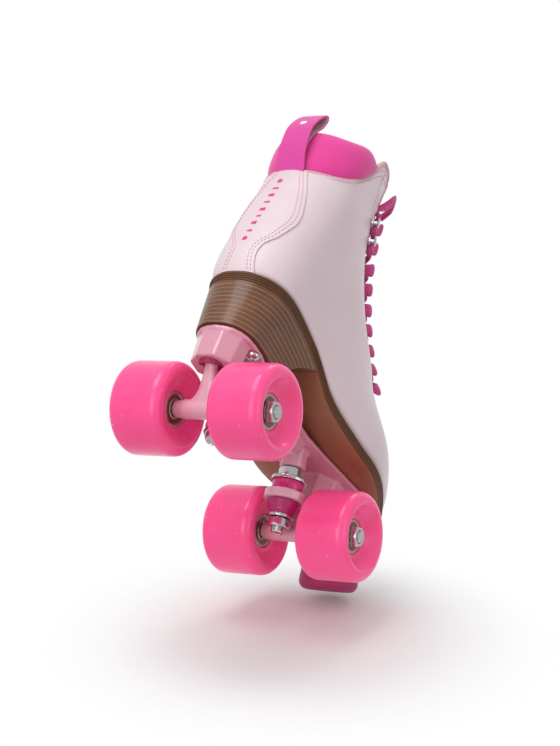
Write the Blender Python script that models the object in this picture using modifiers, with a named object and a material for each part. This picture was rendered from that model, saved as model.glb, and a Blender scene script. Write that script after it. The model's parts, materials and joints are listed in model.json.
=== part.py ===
"""One quad roller skate, for the right foot, standing on its four wheels.

Lengths are written in millimetres and scaled to metres when a mesh is made.
+Z is up, the toe points to -Y, the floor is z = 0, and x = 0 is the middle
plane. The origin is on the floor, midway between the two axles.
"""

import math

import bmesh
import bpy
from mathutils import Matrix, Vector

MM = 0.001
GAP = 0.3  # clearance kept between pieces that touch on the real skate

# Wheels, bearings and axles
WHEEL_R = 29.0
WHEEL_WIDTH = 37.0
WHEEL_STEPS = 28
WHEEL_LIP = 6.0
TRACK = 69.0
WHEELBASE = 133.4
BEARING_R = 11.0
BEARING_WIDTH = 7.0
INNER_FACE = 12.7  # from a wheel's middle to its inner bearing's face
OUTER_FACE = 10.0  # and to its outer bearing's face
AXLE_R = 3.8
AXLE_END = 50.4
AXLE_Z = WHEEL_R * math.cos(math.pi / WHEEL_STEPS)

# Trucks: the rear one is given, the front one is its mirror image in y
KINGPIN_R = 4.5
KINGPIN_TOP = Vector((0, 40.4, 60.6))  # where the jam nut meets the plate's boss
KINGPIN_END = Vector((0, 50.4, 17.6))
RING_R = 14.0
RING_BORE = 7.2
RING_THICK = 6.0
PIVOT = Vector((0, 78.85, 54.9))  # centre of the ball that sits in the pivot cup
PIVOT_R = 4.6
TUBE_R = 6.2
TUBE_END = 21.3

# Plate
PLATE_TOP = 75.7
FLANGE = 3.0
BLOCK_BOTTOM = 53.5
SCREW_SPOTS = ((15.0, 64.0), (-15.0, 64.0), (18.5, -98.0), (-18.5, -98.0))

# Toe stop
STOP_FACE = Vector((0, -130.6, 24.4))
STOP_TILT = math.radians(28)
STOP_R = 19.8
STOP_HEIGHT = 26.0

# Boot
SOLE_Z = 76.0  # underside of the sole under the ball and of the heel
SOLE_THICK = 5.7
HEEL_BOTTOM_HALF = 21.5
SHELL = 2.4  # thickness of the upper
THROAT = 9.0  # half the gap between the two lace rows
TONGUE_HALF = 13.0
THROAT_RING = 5  # first ring of the upper that is open at the front
HALF_POINTS = 20  # points along half of a ring
LACE_R = 1.7

PINK_SHELL = (0.84, 0.70, 0.75)
HOT_PINK = (0.86, 0.08, 0.40)
MAGENTA = (0.74, 0.05, 0.32)
METAL = (0.78, 0.78, 0.80)


# ---------------------------------------------------------------- helpers


def clear_scene():
    for old in list(bpy.data.objects):
        bpy.data.objects.remove(old)


def new_collection(name):
    collection = bpy.data.collections.new(name)
    bpy.context.scene.collection.children.link(collection)
    return collection


def material(name, colour, roughness=0.5, metallic=0.0):
    made = bpy.data.materials.new(name)
    made.use_nodes = True
    shader = made.node_tree.nodes["Principled BSDF"]
    shader.inputs["Base Color"].default_value = (*colour, 1)
    shader.inputs["Roughness"].default_value = roughness
    shader.inputs["Metallic"].default_value = metallic
    return made


def facing(point, direction):
    """Matrix that puts a piece's origin at point and turns its +Z to direction."""
    turn = Vector(direction).to_track_quat("Z", "Y").to_matrix().to_4x4()
    return Matrix.Translation(Vector(point) * MM) @ turn


def add_object(name, bm, look, place=None, guide=False):
    """Turns a bmesh in millimetres into an object of the skate or a guide."""
    bmesh.ops.recalc_face_normals(bm, faces=bm.faces)
    bmesh.ops.scale(bm, vec=(MM, MM, MM), verts=bm.verts)
    mesh = bpy.data.meshes.new(name)
    bm.to_mesh(mesh)
    bm.free()
    made = bpy.data.objects.new(name, mesh)
    (CUTTERS if guide else SKATE).objects.link(made)
    if place:
        made.matrix_world = place
    if guide:
        made.hide_render = True
        made.display_type = "WIRE"
    else:
        mesh.materials.append(look)
        if mesh.polygons:
            mesh.shade_smooth()
            mesh.set_sharp_from_angle(angle=math.radians(40))
    return made


def turned(name, profile, look, place, steps=16, hollow=False, guide=False):
    """A lathe piece about its local Z, from its (radius, height) profile in either order."""
    area = sum(a[0] * b[1] - b[0] * a[1] for a, b in zip(profile, profile[1:] + profile[:1]))
    if area > 0:  # the Screw needs the profile to run down its outer side
        profile = profile[::-1]
    bm = bmesh.new()
    row = [bm.verts.new((r, 0, h)) for r, h in profile]
    for a, b in zip(row, row[1:]):
        bm.edges.new((a, b))
    if hollow:
        bm.edges.new((row[-1], row[0]))
    made = add_object(name, bm, look, place, guide)
    screw = made.modifiers.new("lathe", "SCREW")
    screw.steps = screw.render_steps = steps
    screw.use_merge_vertices = True
    screw.merge_threshold = 0.00001
    screw.use_smooth_shade = True
    return made


def ring(name, outer, inner, bottom, top, look, place, steps=16):
    """A plain ring, sleeve or washer about its local Z."""
    profile = [(outer, top), (outer, bottom), (inner, bottom), (inner, top)]
    return turned(name, profile, look, place, steps, hollow=True)


def rod(name, radius, bottom, top, look, place, steps=16, guide=False):
    """A plain round bar about its local Z."""
    profile = [(0, top), (radius, top), (radius, bottom), (0, bottom)]
    return turned(name, profile, look, place, steps, guide=guide)


def prism(name, sides, radius, bottom, top, look, place, top_radius=None, guide=False):
    """A straight or tapered prism about its local Z."""
    bm = bmesh.new()
    bmesh.ops.create_cone(
        bm,
        cap_ends=True,
        segments=sides,
        radius1=radius,
        radius2=top_radius or radius,
        depth=top - bottom,
        matrix=Matrix.Translation((0, 0, (top + bottom) / 2)),
    )
    return add_object(name, bm, look, place, guide)


def boolean(target, other, operation):
    """Joins a guide to a piece, or cuts it out of the piece."""
    change = target.modifiers.new(other.name, "BOOLEAN")
    change.operation = operation
    change.object = other
    change.solver = "EXACT"


def hex_nut(name, across_flats, bore, bottom, top, look, place):
    """A hexagon nut with a round hole."""
    nut = prism(name, 6, across_flats / math.sqrt(3), bottom, top, look, place)
    hole = rod(name + "_hole", bore, bottom - 1, top + 1, None, place, guide=True)
    boolean(nut, hole, "DIFFERENCE")
    return nut


def grid_faces(bm, rows):
    """Quads between neighbouring rows of points; the first row is the lowest."""
    grid = [[bm.verts.new(point) for point in row] for row in rows]
    for low, high in zip(grid, grid[1:]):
        for j in range(len(low) - 1):
            bm.faces.new((low[j], low[j + 1], high[j + 1], high[j]))
    bmesh.ops.remove_doubles(bm, verts=bm.verts, dist=0.001)
    return grid


def mirrored(made):
    """Completes a half that is open at the middle plane."""
    mirror = made.modifiers.new("other side", "MIRROR")
    mirror.use_axis = (True, False, False)
    mirror.use_clip = True
    mirror.merge_threshold = 0.00005
    return made


def half_shell(name, rows, look):
    """A mirrored surface from rows of points on the -X side."""
    bm = bmesh.new()
    grid_faces(bm, rows)
    return mirrored(add_object(name, bm, look))


def tube_loft(name, loops, look, cap_first=True, guide=False, place=None):
    """A solid through closed loops of points; the last loop is always capped."""
    bm = bmesh.new()
    grid = grid_faces(bm, [loop + loop[:1] for loop in loops])
    bmesh.ops.remove_doubles(bm, verts=bm.verts, dist=0.001)
    del grid
    bmesh.ops.holes_fill(bm, edges=bm.edges, sides=0)
    if not cap_first:
        on_plane = [f for f in bm.faces if all(abs(v.co.x) < 0.01 for v in f.verts)]
        bmesh.ops.delete(bm, geom=on_plane, context="FACES_ONLY")
    return add_object(name, bm, look, place, guide)


def tube_along(name, points, radius, look):
    """A cord: a bevelled curve through points in millimetres."""
    curve = bpy.data.curves.new(name, "CURVE")
    curve.dimensions = "3D"
    curve.bevel_depth = radius * MM
    curve.bevel_resolution = 2
    curve.use_fill_caps = True
    line = curve.splines.new("POLY")
    line.points.add(len(points) - 1)
    for knot, point in zip(line.points, points):
        knot.co = (*(Vector(point) * MM), 1)
    curve.materials.append(look)
    made = bpy.data.objects.new(name, curve)
    SKATE.objects.link(made)
    return made


def smooth_path(points, per_span):
    """Points on a Catmull-Rom curve through the given points."""
    ends = [2 * points[0] - points[1]] + points + [2 * points[-1] - points[-2]]
    path = []
    for a, b, c, d in zip(ends, ends[1:], ends[2:], ends[3:]):
        for k in range(per_span):
            t = k / per_span
            path.append(
                0.5
                * (
                    2 * b
                    + (c - a) * t
                    + (2 * a - 5 * b + 4 * c - d) * t**2
                    + (3 * b - a - 3 * c + d) * t**3
                )
            )
    return path + [points[-1]]


def curved(knots, at):
    """Value at a position on a smooth curve through (position, value) knots."""
    at = min(max(at, knots[0][0]), knots[-1][0])
    ends = [knots[0], *knots, knots[-1]]
    for (pa, va), (p0, v0), (p1, v1), (pb, vb) in zip(ends, ends[1:], ends[2:], ends[3:]):
        if p0 <= at <= p1 and p1 > p0:
            span = p1 - p0
            t = (at - p0) / span
            leave = (v1 - va) / (p1 - pa) * span
            arrive = (vb - v0) / (pb - p0) * span
            return (
                v0 * (2 * t**3 - 3 * t**2 + 1)
                + leave * (t**3 - 2 * t**2 + t)
                + v1 * (3 * t**2 - 2 * t**3)
                + arrive * (t**3 - t**2)
            )
    return knots[-1][1]


# ---------------------------------------------------------------- boot shape

# The upper is a stack of rings. Each has its front and back point (y, z), half
# widths a tenth, a third, two thirds and nine tenths of the way back, and the
# lengths over which its front and its back round off.
RINGS = (
    ((-141, 82), (92.5, 115), (35.0, 43.5, 30.0, 28.0), 78, 30),
    ((-141, 96), (94.5, 124), (34.0, 43.0, 31.0, 30.0), 76, 31),
    ((-137, 109), (94.5, 134), (30.0, 40.0, 31.5, 31.0), 70, 32),
    ((-125, 120), (93.0, 145), (22.5, 34.5, 32.0, 31.5), 62, 32),
    ((-108, 131), (91.5, 155), (18.0, 31.0, 32.5, 31.5), 52, 32),
    ((-91, 147), (89.5, 164), (17.5, 29.5, 32.5, 31.5), 44, 32),
    ((-66, 162), (88.0, 173), (17.0, 29.0, 32.5, 31.5), 40, 32),
    ((-43, 182), (86.5, 181), (17.0, 28.5, 32.5, 31.5), 36, 32),
    ((-27, 206), (85.0, 188), (16.5, 27.0, 32.5, 31.0), 34, 32),
    ((-19, 230), (84.0, 195), (16.0, 25.5, 32.5, 31.0), 32, 32),
    ((-16, 253), (83.0, 201), (15.5, 24.0, 32.0, 30.5), 30, 32),
    ((-17, 276), (82.0, 207), (15.0, 22.5, 31.5, 30.0), 28, 32),
)
COLLAR_RISE = ((27, 2), (36, 9), (48, 24), (60, 31), (82, 35))
WIDTH_STATIONS = (0.1, 0.36, 0.66, 0.9)
FEATHER = ((-45, 82), (-21, 87), (-4, 93), (5, 99), (21, 108), (42, 113), (58, 115))
TOPLINE = ((-17, 276), (0, 275), (10, 273), (18, 270), (28, 257), (36, 244), (48, 228))
TOPLINE += ((60, 217), (70, 211), (82, 207))


def end_round(t, power=2.2):
    """0 at the tip of a ring and 1 where it has its full width."""
    t = min(max(t, 0), 1)
    return (1 - (1 - t) ** power) ** (1 / power)


def ring_half_width(index, share):
    """Half width of a ring at a share of the way from its front to its back."""
    (front_y, _), (back_y, _), widths, nose, heel = RINGS[index]
    length = back_y - front_y
    width = curved(list(zip(WIDTH_STATIONS, widths)), share)
    return width * end_round(share * length / nose) * end_round((1 - share) * length / heel)


def ring_height(index, y):
    """Height of a ring's line at y: the sole's line, straight, or the top line."""
    if index == 0:
        return curved(FEATHER, y)
    if index == len(RINGS) - 1:
        return curved(TOPLINE, y)
    (front_y, front_z), (back_y, back_z), *_ = RINGS[index]
    chord = front_z + (back_z - front_z) * (y - front_y) / (back_y - front_y)
    sole = RINGS[0]
    base = sole[0][1] + (sole[1][1] - sole[0][1]) * (y - sole[0][0]) / (sole[1][0] - sole[0][0])
    sag = max(0, 1 - index / 4)
    return chord + sag * (curved(FEATHER, y) - base)


def ring_start(index, half_gap):
    """Share of the way back at which a ring is half_gap wide."""
    low, high = 0.0, 0.3
    for _ in range(30):
        middle = (low + high) / 2
        if ring_half_width(index, middle) < half_gap:
            low = middle
        else:
            high = middle
    return high


def ring_points(index, inset=0.0, half_gap=0.0, lift=0.0):
    """Points of half a ring, front to back, on the -X side."""
    (front_y, _), (back_y, _), *_ = RINGS[index]
    first = ring_start(index, half_gap) if half_gap else 0.0
    points = []
    for k in range(HALF_POINTS + 1):
        turn = k / HALF_POINTS
        share = first + (1 - first) * (1 - math.cos(math.pi * turn)) / 2
        half = ring_half_width(index, share)
        y = front_y + (back_y - front_y) * share
        squeeze = (1 - 2 * inset / (back_y - front_y)) if inset else 1
        middle = (front_y + back_y) / 2
        half = max(half - inset, 0)
        points.append(
            Vector((-half, middle + (y - middle) * squeeze, ring_height(index, y) + lift))
        )
    if not half_gap:
        points[0].x = 0
    points[-1].x = 0
    return points


def middle_line(points):
    """The same points moved onto the middle plane."""
    return [Vector((0, p.y, p.z)) for p in points]


def make_upper(look):
    """The leather upper: a shell that is open at the top and down the lace gap."""
    sole = ring_points(0)
    rows = [middle_line(sole)]
    for index in range(len(RINGS)):
        gap = THROAT if index >= THROAT_RING else 0
        rows.append(ring_points(index, half_gap=gap))
    upper = half_shell("boot_upper", rows, look)
    wall = upper.modifiers.new("leather", "SOLIDIFY")
    wall.thickness = SHELL * MM
    wall.offset = -1
    return upper


def slab(name, low, high, look):
    """A closed mirrored slab between two half outlines."""
    return half_shell(name, [middle_line(low), low, high, middle_line(high)], look)


def make_insole(look):
    low = ring_points(0, inset=7.0, lift=SHELL + GAP)
    high = ring_points(0, inset=7.5, lift=SHELL + GAP + 3.0)
    return slab("insole", low, high, look)


def make_outsole(look):
    high = ring_points(0, inset=-0.8, lift=-GAP)
    low = ring_points(0, inset=0.2, lift=-GAP - SOLE_THICK)
    return slab("outsole", low, high, look)


def make_heel(look):
    """The stacked heel: level below, and following the sole's underside above."""
    back = RINGS[0][1][0]
    first, last = 14.0, back
    under = ring_points(0, inset=0.2, lift=-GAP - SOLE_THICK)
    levels = 5
    rows = []
    for level in range(levels + 1):
        t = level / levels
        row = []
        for k in range(HALF_POINTS + 1):
            share = (1 - math.cos(math.pi * k / HALF_POINTS)) / 2
            top_y = first + (last - first) * share
            ring_share = (top_y - RINGS[0][0][0]) / (back - RINGS[0][0][0])
            top_half = ring_half_width(0, min(ring_share, 1)) - 0.3
            behind, ahead = next(p for p in zip(under, under[1:]) if p[1].y >= top_y - 0.3)
            slope = (ahead.z - behind.z) / (ahead.y - behind.y)
            top_z = behind.z + slope * (top_y - behind.y) - 0.6
            low_y = 37.0 + (back - 0.5 - 37.0) * share
            low_half = HEEL_BOTTOM_HALF * end_round((back - low_y) / 24)
            y = low_y + (top_y - low_y) * t ** (1 + 1.2 * (1 - share))
            z = SOLE_Z + (top_z - SOLE_Z) * t
            half = low_half + (top_half - low_half) * t
            if k == HALF_POINTS:
                half = 0
            row.append(Vector((-half, y, z)))
        rows.append(row)
    front = [[Vector((0, r[0].y, r[0].z))] + r for r in rows]
    return half_shell("heel_stack", [middle_line(front[0])] + front + [middle_line(front[-1])], look)


def make_tongue(look):
    """A padded strip under the laces, inside the upper."""
    loops = []
    for index in range(THROAT_RING - 1, len(RINGS)):
        (front_y, front_z), (back_y, back_z), *_ = RINGS[index]
        inward = Vector((0, back_y - front_y, ring_height(index, 10) - front_z)).normalized()
        if index == len(RINGS) - 1:
            inward = Vector((0, 1, 0))
        front = Vector((0, front_y, front_z))
        outer, inner = [], []
        for side in (-1.0, -0.75, -0.5, -0.25, 0, 0.25, 0.5, 0.75, 1.0):
            x = TONGUE_HALF * side
            depth = ring_start(index, abs(x) + SHELL + 2.2) * (back_y - front_y)
            spot = front + inward * (depth + 3.0)
            outer.append(Vector((x, spot.y, spot.z)))
            inner.append(Vector((x * 0.97, *(spot + inward * 4.0).yz)))
        loops.append(outer + inner[::-1])
    return tube_loft("tongue", loops, look)


def make_collar(look):
    """The foam collar: a C-shaped roll that stands on the upper's top line."""
    last = len(RINGS) - 1
    outline = [p for p in ring_points(last) if p.y > 27][::-1]
    loops = []
    for k, point in enumerate(outline):
        ahead = outline[min(k + 1, len(outline) - 1)]
        behind = outline[max(k - 1, 0)]
        along = Vector((ahead.x - behind.x, ahead.y - behind.y, 0)).normalized()
        outward = Vector((along.y, -along.x, 0)) if k else Vector((0, 1, 0))
        if outward.x > 0.01:
            outward = -outward
        height = curved(COLLAR_RISE, point.y)
        loop = []
        for turn in range(14):
            angle = 2 * math.pi * turn / 14
            across = -3.8 + 6.4 * math.cos(angle)
            rise = GAP + height / 2 * (1 + math.sin(angle))
            loop.append(point + outward * across + Vector((0, 0, rise)))
        if k == 0:
            for corner in loop:
                corner.x = 0
        loops.append(loop)
    return mirrored(tube_loft("collar_pad", loops, look, cap_first=False))


def make_pull_loop(look):
    """The webbing loop at the back: two layers that meet at the top line."""
    centre = [(82.4, 208.7), (84.9, 213), (86.9, 217), (88.9, 223), (89.8, 230), (89.5, 238)]
    centre += [(86.6, 246), (81.8, 254), (78.2, 257.4), (76.4, 255), (78.6, 247), (83.2, 238.5)]
    centre += [(85.7, 230), (86.3, 223)]
    path = smooth_path([Vector((0, y, z)) for y, z in centre], 2)
    loops = []
    thick = 0.8
    for k, point in enumerate(path):
        along = path[min(k + 1, len(path) - 1)] - path[max(k - 1, 0)]
        normal = Vector((0, along.z, -along.y)).normalized() * thick
        half = 10.3 - 1.8 * min(k / 12, 1)
        corners = [(-half, normal), (half, normal), (half, -normal), (-half, -normal)]
        loops.append([point + Vector((x, 0, 0)) + n for x, n in corners])
    return tube_loft("pull_loop", loops, look)


def ring_spot(index, half):
    """Point on a ring's front, on the -X side, where the ring has that half width."""
    (front_y, _), (back_y, _), *_ = RINGS[index]
    y = front_y + (back_y - front_y) * ring_start(index, half)
    return Vector((-half, y, ring_height(index, y)))


def front_spot(ring_value, half, outward):
    """A point off the upper beside the lace gap, and the leather's normal there."""
    index = min(int(ring_value), len(RINGS) - 2)
    low, high = ring_spot(index, half), ring_spot(index + 1, half)
    wide = ring_spot(index, half + 3).lerp(ring_spot(index + 1, half + 3), ring_value - index)
    spot = low.lerp(high, ring_value - index)
    normal = (high - low).cross(wide - spot).normalized()
    if normal.y > 0:
        normal = -normal
    return spot + normal * outward, normal


LACE_ROWS = (5.15, 5.65, 6.12, 6.6, 7.08, 7.58, 8.08, 8.72, 9.4, 10.05)
HOOK_ROWS = (8.72, 9.4)
LACE_X = THROAT + 5


def make_laces(look):
    """Two strands that cross over the tongue from row to row."""
    for strand, side in (("lace_left", 1), ("lace_right", -1)):
        points = []
        for k, row in enumerate(LACE_ROWS):
            hand = side * (1 if k % 2 else -1)
            spot, _ = front_spot(row, LACE_X, 2.6)
            points.append(Vector((-hand * spot.x, spot.y, spot.z)))
            if k < len(LACE_ROWS) - 1:
                step = LACE_ROWS[k + 1] - row
                lift = 3.6 if (k % 2) == (side > 0) else 7.6
                for share, across in ((0.22, -hand), (0.78, hand)):
                    edge, normal = front_spot(row + step * share, THROAT + 1, 0)
                    forward = Vector((0, normal.y, normal.z)).normalized() * lift
                    points.append(Vector((across * edge.x, edge.y, edge.z)) + forward)
        tube_along(strand, smooth_path(points, 2), LACE_R, look)


def make_hooks(look):
    """Speed hooks: a foot on the leather and a curled lip, beside the top lace rows."""
    for row, level in zip(HOOK_ROWS, ("lower", "upper")):
        for hand, side in ((-1, "right"), (1, "left")):
            base, normal = front_spot(row, LACE_X + 6.5, 0.6)
            flip = Vector((-hand, 1, 1))
            place = facing(base * flip, normal * flip)
            profile = [(0, 5.6), (2.8, 5.2), (3.6, 4.4), (3.4, 4.0), (1.3, 3.6), (1.3, 1.2)]
            profile += [(3.2, 1.0), (3.2, GAP), (0, GAP)]
            turned(f"speed_hook_{level}_{side}", profile, look, place)


# ---------------------------------------------------------------- chassis


def flat_outline(name, half, bottom, top, guide=False, look=None):
    """A level slab from half an outline given as (half width, y) points."""
    bm = bmesh.new()
    points = [(x, y) for x, y in half] + [(-x, y) for x, y in reversed(half) if x > 0]
    face = bm.faces.new([bm.verts.new((x, y, bottom)) for x, y in points])
    grown = bmesh.ops.extrude_face_region(bm, geom=[face])
    moved = [g for g in grown["geom"] if isinstance(g, bmesh.types.BMVert)]
    bmesh.ops.translate(bm, verts=moved, vec=(0, 0, top - bottom))
    return add_object(name, bm, look, guide=guide)


def block(name, centre_y, half_x, half_y, low_x, low_y, bottom, look=None):
    """An eight-sided pivot block that tapers down from the plate."""
    made = prism(name, 8, 1.0, bottom, PLATE_TOP - 1, look, None, guide=True)
    middle = (bottom + PLATE_TOP - 1) / 2 * MM
    flat = 1 / math.cos(math.pi / 8)
    for vertex in made.data.vertices:
        turned_co = Matrix.Rotation(math.pi / 8, 3, "Z") @ vertex.co
        is_top = vertex.co.z > middle
        sx, sy = (half_x, half_y) if is_top else (low_x, low_y)
        vertex.co = (turned_co.x * sx * flat, turned_co.y * sy * flat, vertex.co.z)
        vertex.co.y += centre_y * MM
    return made


def kingpin_frame(end):
    """Origin at the jam nut's top face, +Z pointing down the kingpin."""
    flip = Vector((1, end, 1))
    return facing(KINGPIN_TOP * flip, (KINGPIN_END - KINGPIN_TOP) * flip)


def pivot_direction(end):
    """From the axle up to the pivot ball."""
    return (PIVOT - Vector((0, WHEELBASE / 2, AXLE_Z))).normalized() * Vector((1, end, 1))


def stop_frame():
    """Origin at the middle of the toe stop's flat face, +Z up its stem."""
    return facing(STOP_FACE, (0, math.sin(STOP_TILT), math.cos(STOP_TILT)))


def make_plate(look):
    """The cast plate: flange, pivot blocks, kingpin bosses and toe stop socket."""
    outline = [(0, 91), (6, 90.3), (11.5, 88), (15.8, 83.8), (18.6, 78), (19.6, 71), (19.6, 60), (17, 47)]
    outline += [(14.5, 34)]
    outline += [(14, 6), (14.5, -24), (18, -45), (22, -64), (26, -84), (26.5, -97)]
    outline += [(23, -109), (14, -116), (0, -118)]
    plate = flat_outline("plate", outline, PLATE_TOP - FLANGE, PLATE_TOP + 1, look=look)
    beam = [(0, 50), (10, 50), (11, 20), (10, -30), (0, -30)]
    parts = [flat_outline("plate_beam", beam, 66.5, PLATE_TOP - 1, guide=True)]
    parts.append(block("rear_block", 75.7, 15.9, 13.9, 14.0, 12.7, BLOCK_BOTTOM))
    parts.append(block("front_block", -76, 17, 15, 13, 10.5, BLOCK_BOTTOM))
    stop_length = 52.0
    socket = rod("stop_boss", 9.5, STOP_HEIGHT + 12.5, stop_length + 3, None, stop_frame(), guide=True)
    parts.append(socket)
    for end, where in ((1, "rear"), (-1, "front")):
        parts.append(rod(f"{where}_boss", 8.6, -13.0, 0, None, kingpin_frame(end), guide=True))
    for part in parts:
        boolean(plate, part, "UNION")
    trim = flat_outline("plate_trim", [(0, 130), (60, 130), (60, -150), (0, -150)],
                        PLATE_TOP, PLATE_TOP + 30, guide=True)
    boolean(plate, trim, "DIFFERENCE")
    for end, where in ((1, "rear"), (-1, "front")):
        hole = rod(f"{where}_kingpin_hole", KINGPIN_R + GAP, -9.0, 5, None, kingpin_frame(end), guide=True)
        boolean(plate, hole, "DIFFERENCE")
        cup = facing(PIVOT * Vector((1, end, 1)), pivot_direction(end))
        seat = rod(f"{where}_cup_seat", 8.0 + GAP, -12, 7.0 + GAP, None, cup, guide=True)
        boolean(plate, seat, "DIFFERENCE")
    stem_hole = rod("stop_hole", 5.0 + GAP, STOP_HEIGHT, stop_length - 3, None, stop_frame(), guide=True)
    boolean(plate, stem_hole, "DIFFERENCE")
    for k, (x, y) in enumerate(SCREW_SPOTS):
        spot = facing((x, y, 0), (0, 0, 1))
        hole = rod(f"screw_hole_{k}", 2.5 + GAP, 60, 80, None, spot, steps=16, guide=True)
        pocket = rod(f"screw_pocket_{k}", 6.0, 60, PLATE_TOP - FLANGE + 0.2, None, spot, guide=True)
        boolean(plate, pocket, "DIFFERENCE")
        boolean(plate, hole, "DIFFERENCE")
    return plate


def make_screws(look):
    """Dome-headed screws that hold the plate to the sole."""
    names = ("rear_left", "rear_right", "front_left", "front_right")
    seat = PLATE_TOP - FLANGE - GAP
    for name, (x, y) in zip(names, SCREW_SPOTS):
        place = facing((x, y, seat), (0, 0, 1))
        shank = seat - PLATE_TOP
        profile = [(0, -shank), (2.5, -shank), (2.5, 0), (4.8, 0), (4.8, -0.9), (4.0, -2.4)]
        profile += [(2.2, -3.3), (0, -3.5)]
        turned(f"plate_screw_{name}", profile, look, place, steps=16)


def make_toe_stop(rubber, steel):
    """Rubber stop on a threaded stem, with its lock nut under the plate's socket."""
    place = stop_frame()
    pad = [(0, STOP_HEIGHT), (13.5, STOP_HEIGHT), (17.4, STOP_HEIGHT - 3), (STOP_R, 6.0)]
    pad += [(STOP_R - 0.7, 2.6), (STOP_R - 3.2, 0.6), (STOP_R - 5.5, 0), (0, 0)]
    stop = turned("toe_stop", pad, rubber, place, steps=32)
    seat = rod("stop_seat", 5.0 + GAP, STOP_HEIGHT - 10, STOP_HEIGHT + 2, None, place, guide=True)
    boolean(stop, seat, "DIFFERENCE")
    rod("toe_stop_stem", 5.0, STOP_HEIGHT - 10 + GAP, 48.4, steel, place)
    nut_top = STOP_HEIGHT + 12.5 - GAP
    hex_nut("toe_stop_nut", 16.0, 5.0 + GAP, nut_top - 6.5, nut_top, steel, place)


def make_kingpin_stack(end, where, steel, soft_top, soft_bottom):
    """Kingpin with its nuts, washers and cushions, top to bottom."""
    place = kingpin_frame(end)
    bore = KINGPIN_R + GAP
    rod(f"{where}_kingpin", KINGPIN_R, -8.6, 44.2, steel, place)
    hex_nut(f"{where}_jam_nut", 14.0, bore, GAP, 6.8, steel, place)
    washer = [(11.5, 9.6), (11.5, 7.4), (10.6, 7.1), (bore, 7.1), (bore, 8.2), (10.4, 8.2)]
    washer += [(10.6, 9.6)]
    turned(f"{where}_cup_washer", washer, steel, place, hollow=True)
    ring(f"{where}_upper_cushion", 10.1, bore, 8.5, 16.8, soft_top, place)
    cone = [(7.4, 32.2), (10.9, 23.6), (10.9, 23.2), (bore, 23.2), (bore, 32.2)]
    turned(f"{where}_lower_cushion", cone, soft_bottom, place, hollow=True)
    low = [(8.4, 34.4), (8.4, 32.5), (bore, 32.5), (bore, 34.4)]
    turned(f"{where}_lower_washer", low, steel, place, hollow=True)
    hex_nut(f"{where}_lock_nut", 13.0, bore, 34.7, 40.4, steel, place)


def fan_loops(direction, stations):
    """Rounded sections across X, at distances from the axle along a direction."""
    axle = Vector((0, WHEELBASE / 2, AXLE_Z))
    side = Vector((0, -direction.z, direction.y))
    loops = []
    for distance, half_x, half_t in stations:
        loop = []
        for k in range(12):
            angle = 2 * math.pi * (k + 0.5) / 12
            c, s = math.cos(angle), math.sin(angle)
            x = half_x * math.copysign(abs(c) ** 0.7, c)
            t = half_t * math.copysign(abs(s) ** 0.7, s)
            loop.append(axle + direction * distance + side * t + Vector((x, 0, 0)))
        loops.append(loop)
    return loops


def flipped(loops, end):
    """The loops for the front truck are the rear ones mirrored in y."""
    return [[p * Vector((1, end, 1)) for p in loop] for loop in loops]


def make_hanger(end, where, look):
    """Axle tube with the fan up to the pivot ball and the arm to the cushion ring."""
    axle = Vector((0, end * WHEELBASE / 2, AXLE_Z))
    across = facing(axle, (1, 0, 0))
    profile = [(0, TUBE_END), (5.4, TUBE_END), (5.6, 17), (TUBE_R, 14), (TUBE_R, -14)]
    profile += [(5.6, -17), (5.4, -TUBE_END), (0, -TUBE_END)]
    hanger = turned(f"{where}_hanger", profile, look, across)
    up = (PIVOT - Vector((0, WHEELBASE / 2, AXLE_Z)))
    reach = up.length
    up.normalize()
    fan = [(0, 14.5, 5.2), (4, 12.5, 5.0), (8, 8.6, 4.6), (12, 6.2, 4.3), (17, 5.0, 4.2), (reach - 1, 3.4, 3.4)]
    parts = [tube_loft(f"{where}_fan", flipped(fan_loops(up, fan), end), None, guide=True)]
    ring_centre = KINGPIN_TOP.lerp(KINGPIN_END, 20.0 / (KINGPIN_END - KINGPIN_TOP).length)
    down = (KINGPIN_END - KINGPIN_TOP).normalized()
    rim = ring_centre + Vector((0, -down.z, down.y)) * (RING_R - 1.5)
    back = rim - Vector((0, WHEELBASE / 2, AXLE_Z))
    span = back.length
    back.normalize()
    arm = [(0, 14.0, 4.6), (4, 13.0, 4.2), (12, 11.0, 3.4), (span - 0.8, 10.0, 2.2)]
    parts.append(tube_loft(f"{where}_arm", flipped(fan_loops(back, arm), end), None, guide=True))
    place = kingpin_frame(end)
    low, high = 20 - RING_THICK / 2, 20 + RING_THICK / 2
    parts.append(rod(f"{where}_ring", RING_R, low, high, None, place, guide=True))
    ball = bmesh.new()
    bmesh.ops.create_uvsphere(ball, u_segments=16, v_segments=10, radius=PIVOT_R)
    spot = PIVOT * Vector((1, end, 1))
    parts.append(add_object(f"{where}_ball", ball, None, facing(spot, (0, 0, 1)), guide=True))
    for part in parts:
        boolean(hanger, part, "UNION")
    boolean(hanger, rod(f"{where}_ring_hole", RING_BORE, 10, 30, None, place, guide=True), "DIFFERENCE")
    boolean(hanger, rod(f"{where}_axle_hole", AXLE_R + GAP, -40, 40, None, across, guide=True), "DIFFERENCE")
    return hanger


def make_pivot_cup(end, where, look):
    """The rubber cup in the plate's block that holds the pivot ball."""
    place = facing(PIVOT * Vector((1, end, 1)), pivot_direction(end))
    inner = PIVOT_R + GAP + 0.1
    profile = [(0, 7.0), (8.0, 7.0), (8.0, -1.5), (inner + 0.8, -1.5), (inner, 0)]
    profile += [(inner * 0.9, inner * 0.5), (inner * 0.64, inner * 0.84), (0, inner + 0.2)]
    turned(f"{where}_pivot_cup", profile, look, place)


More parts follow.
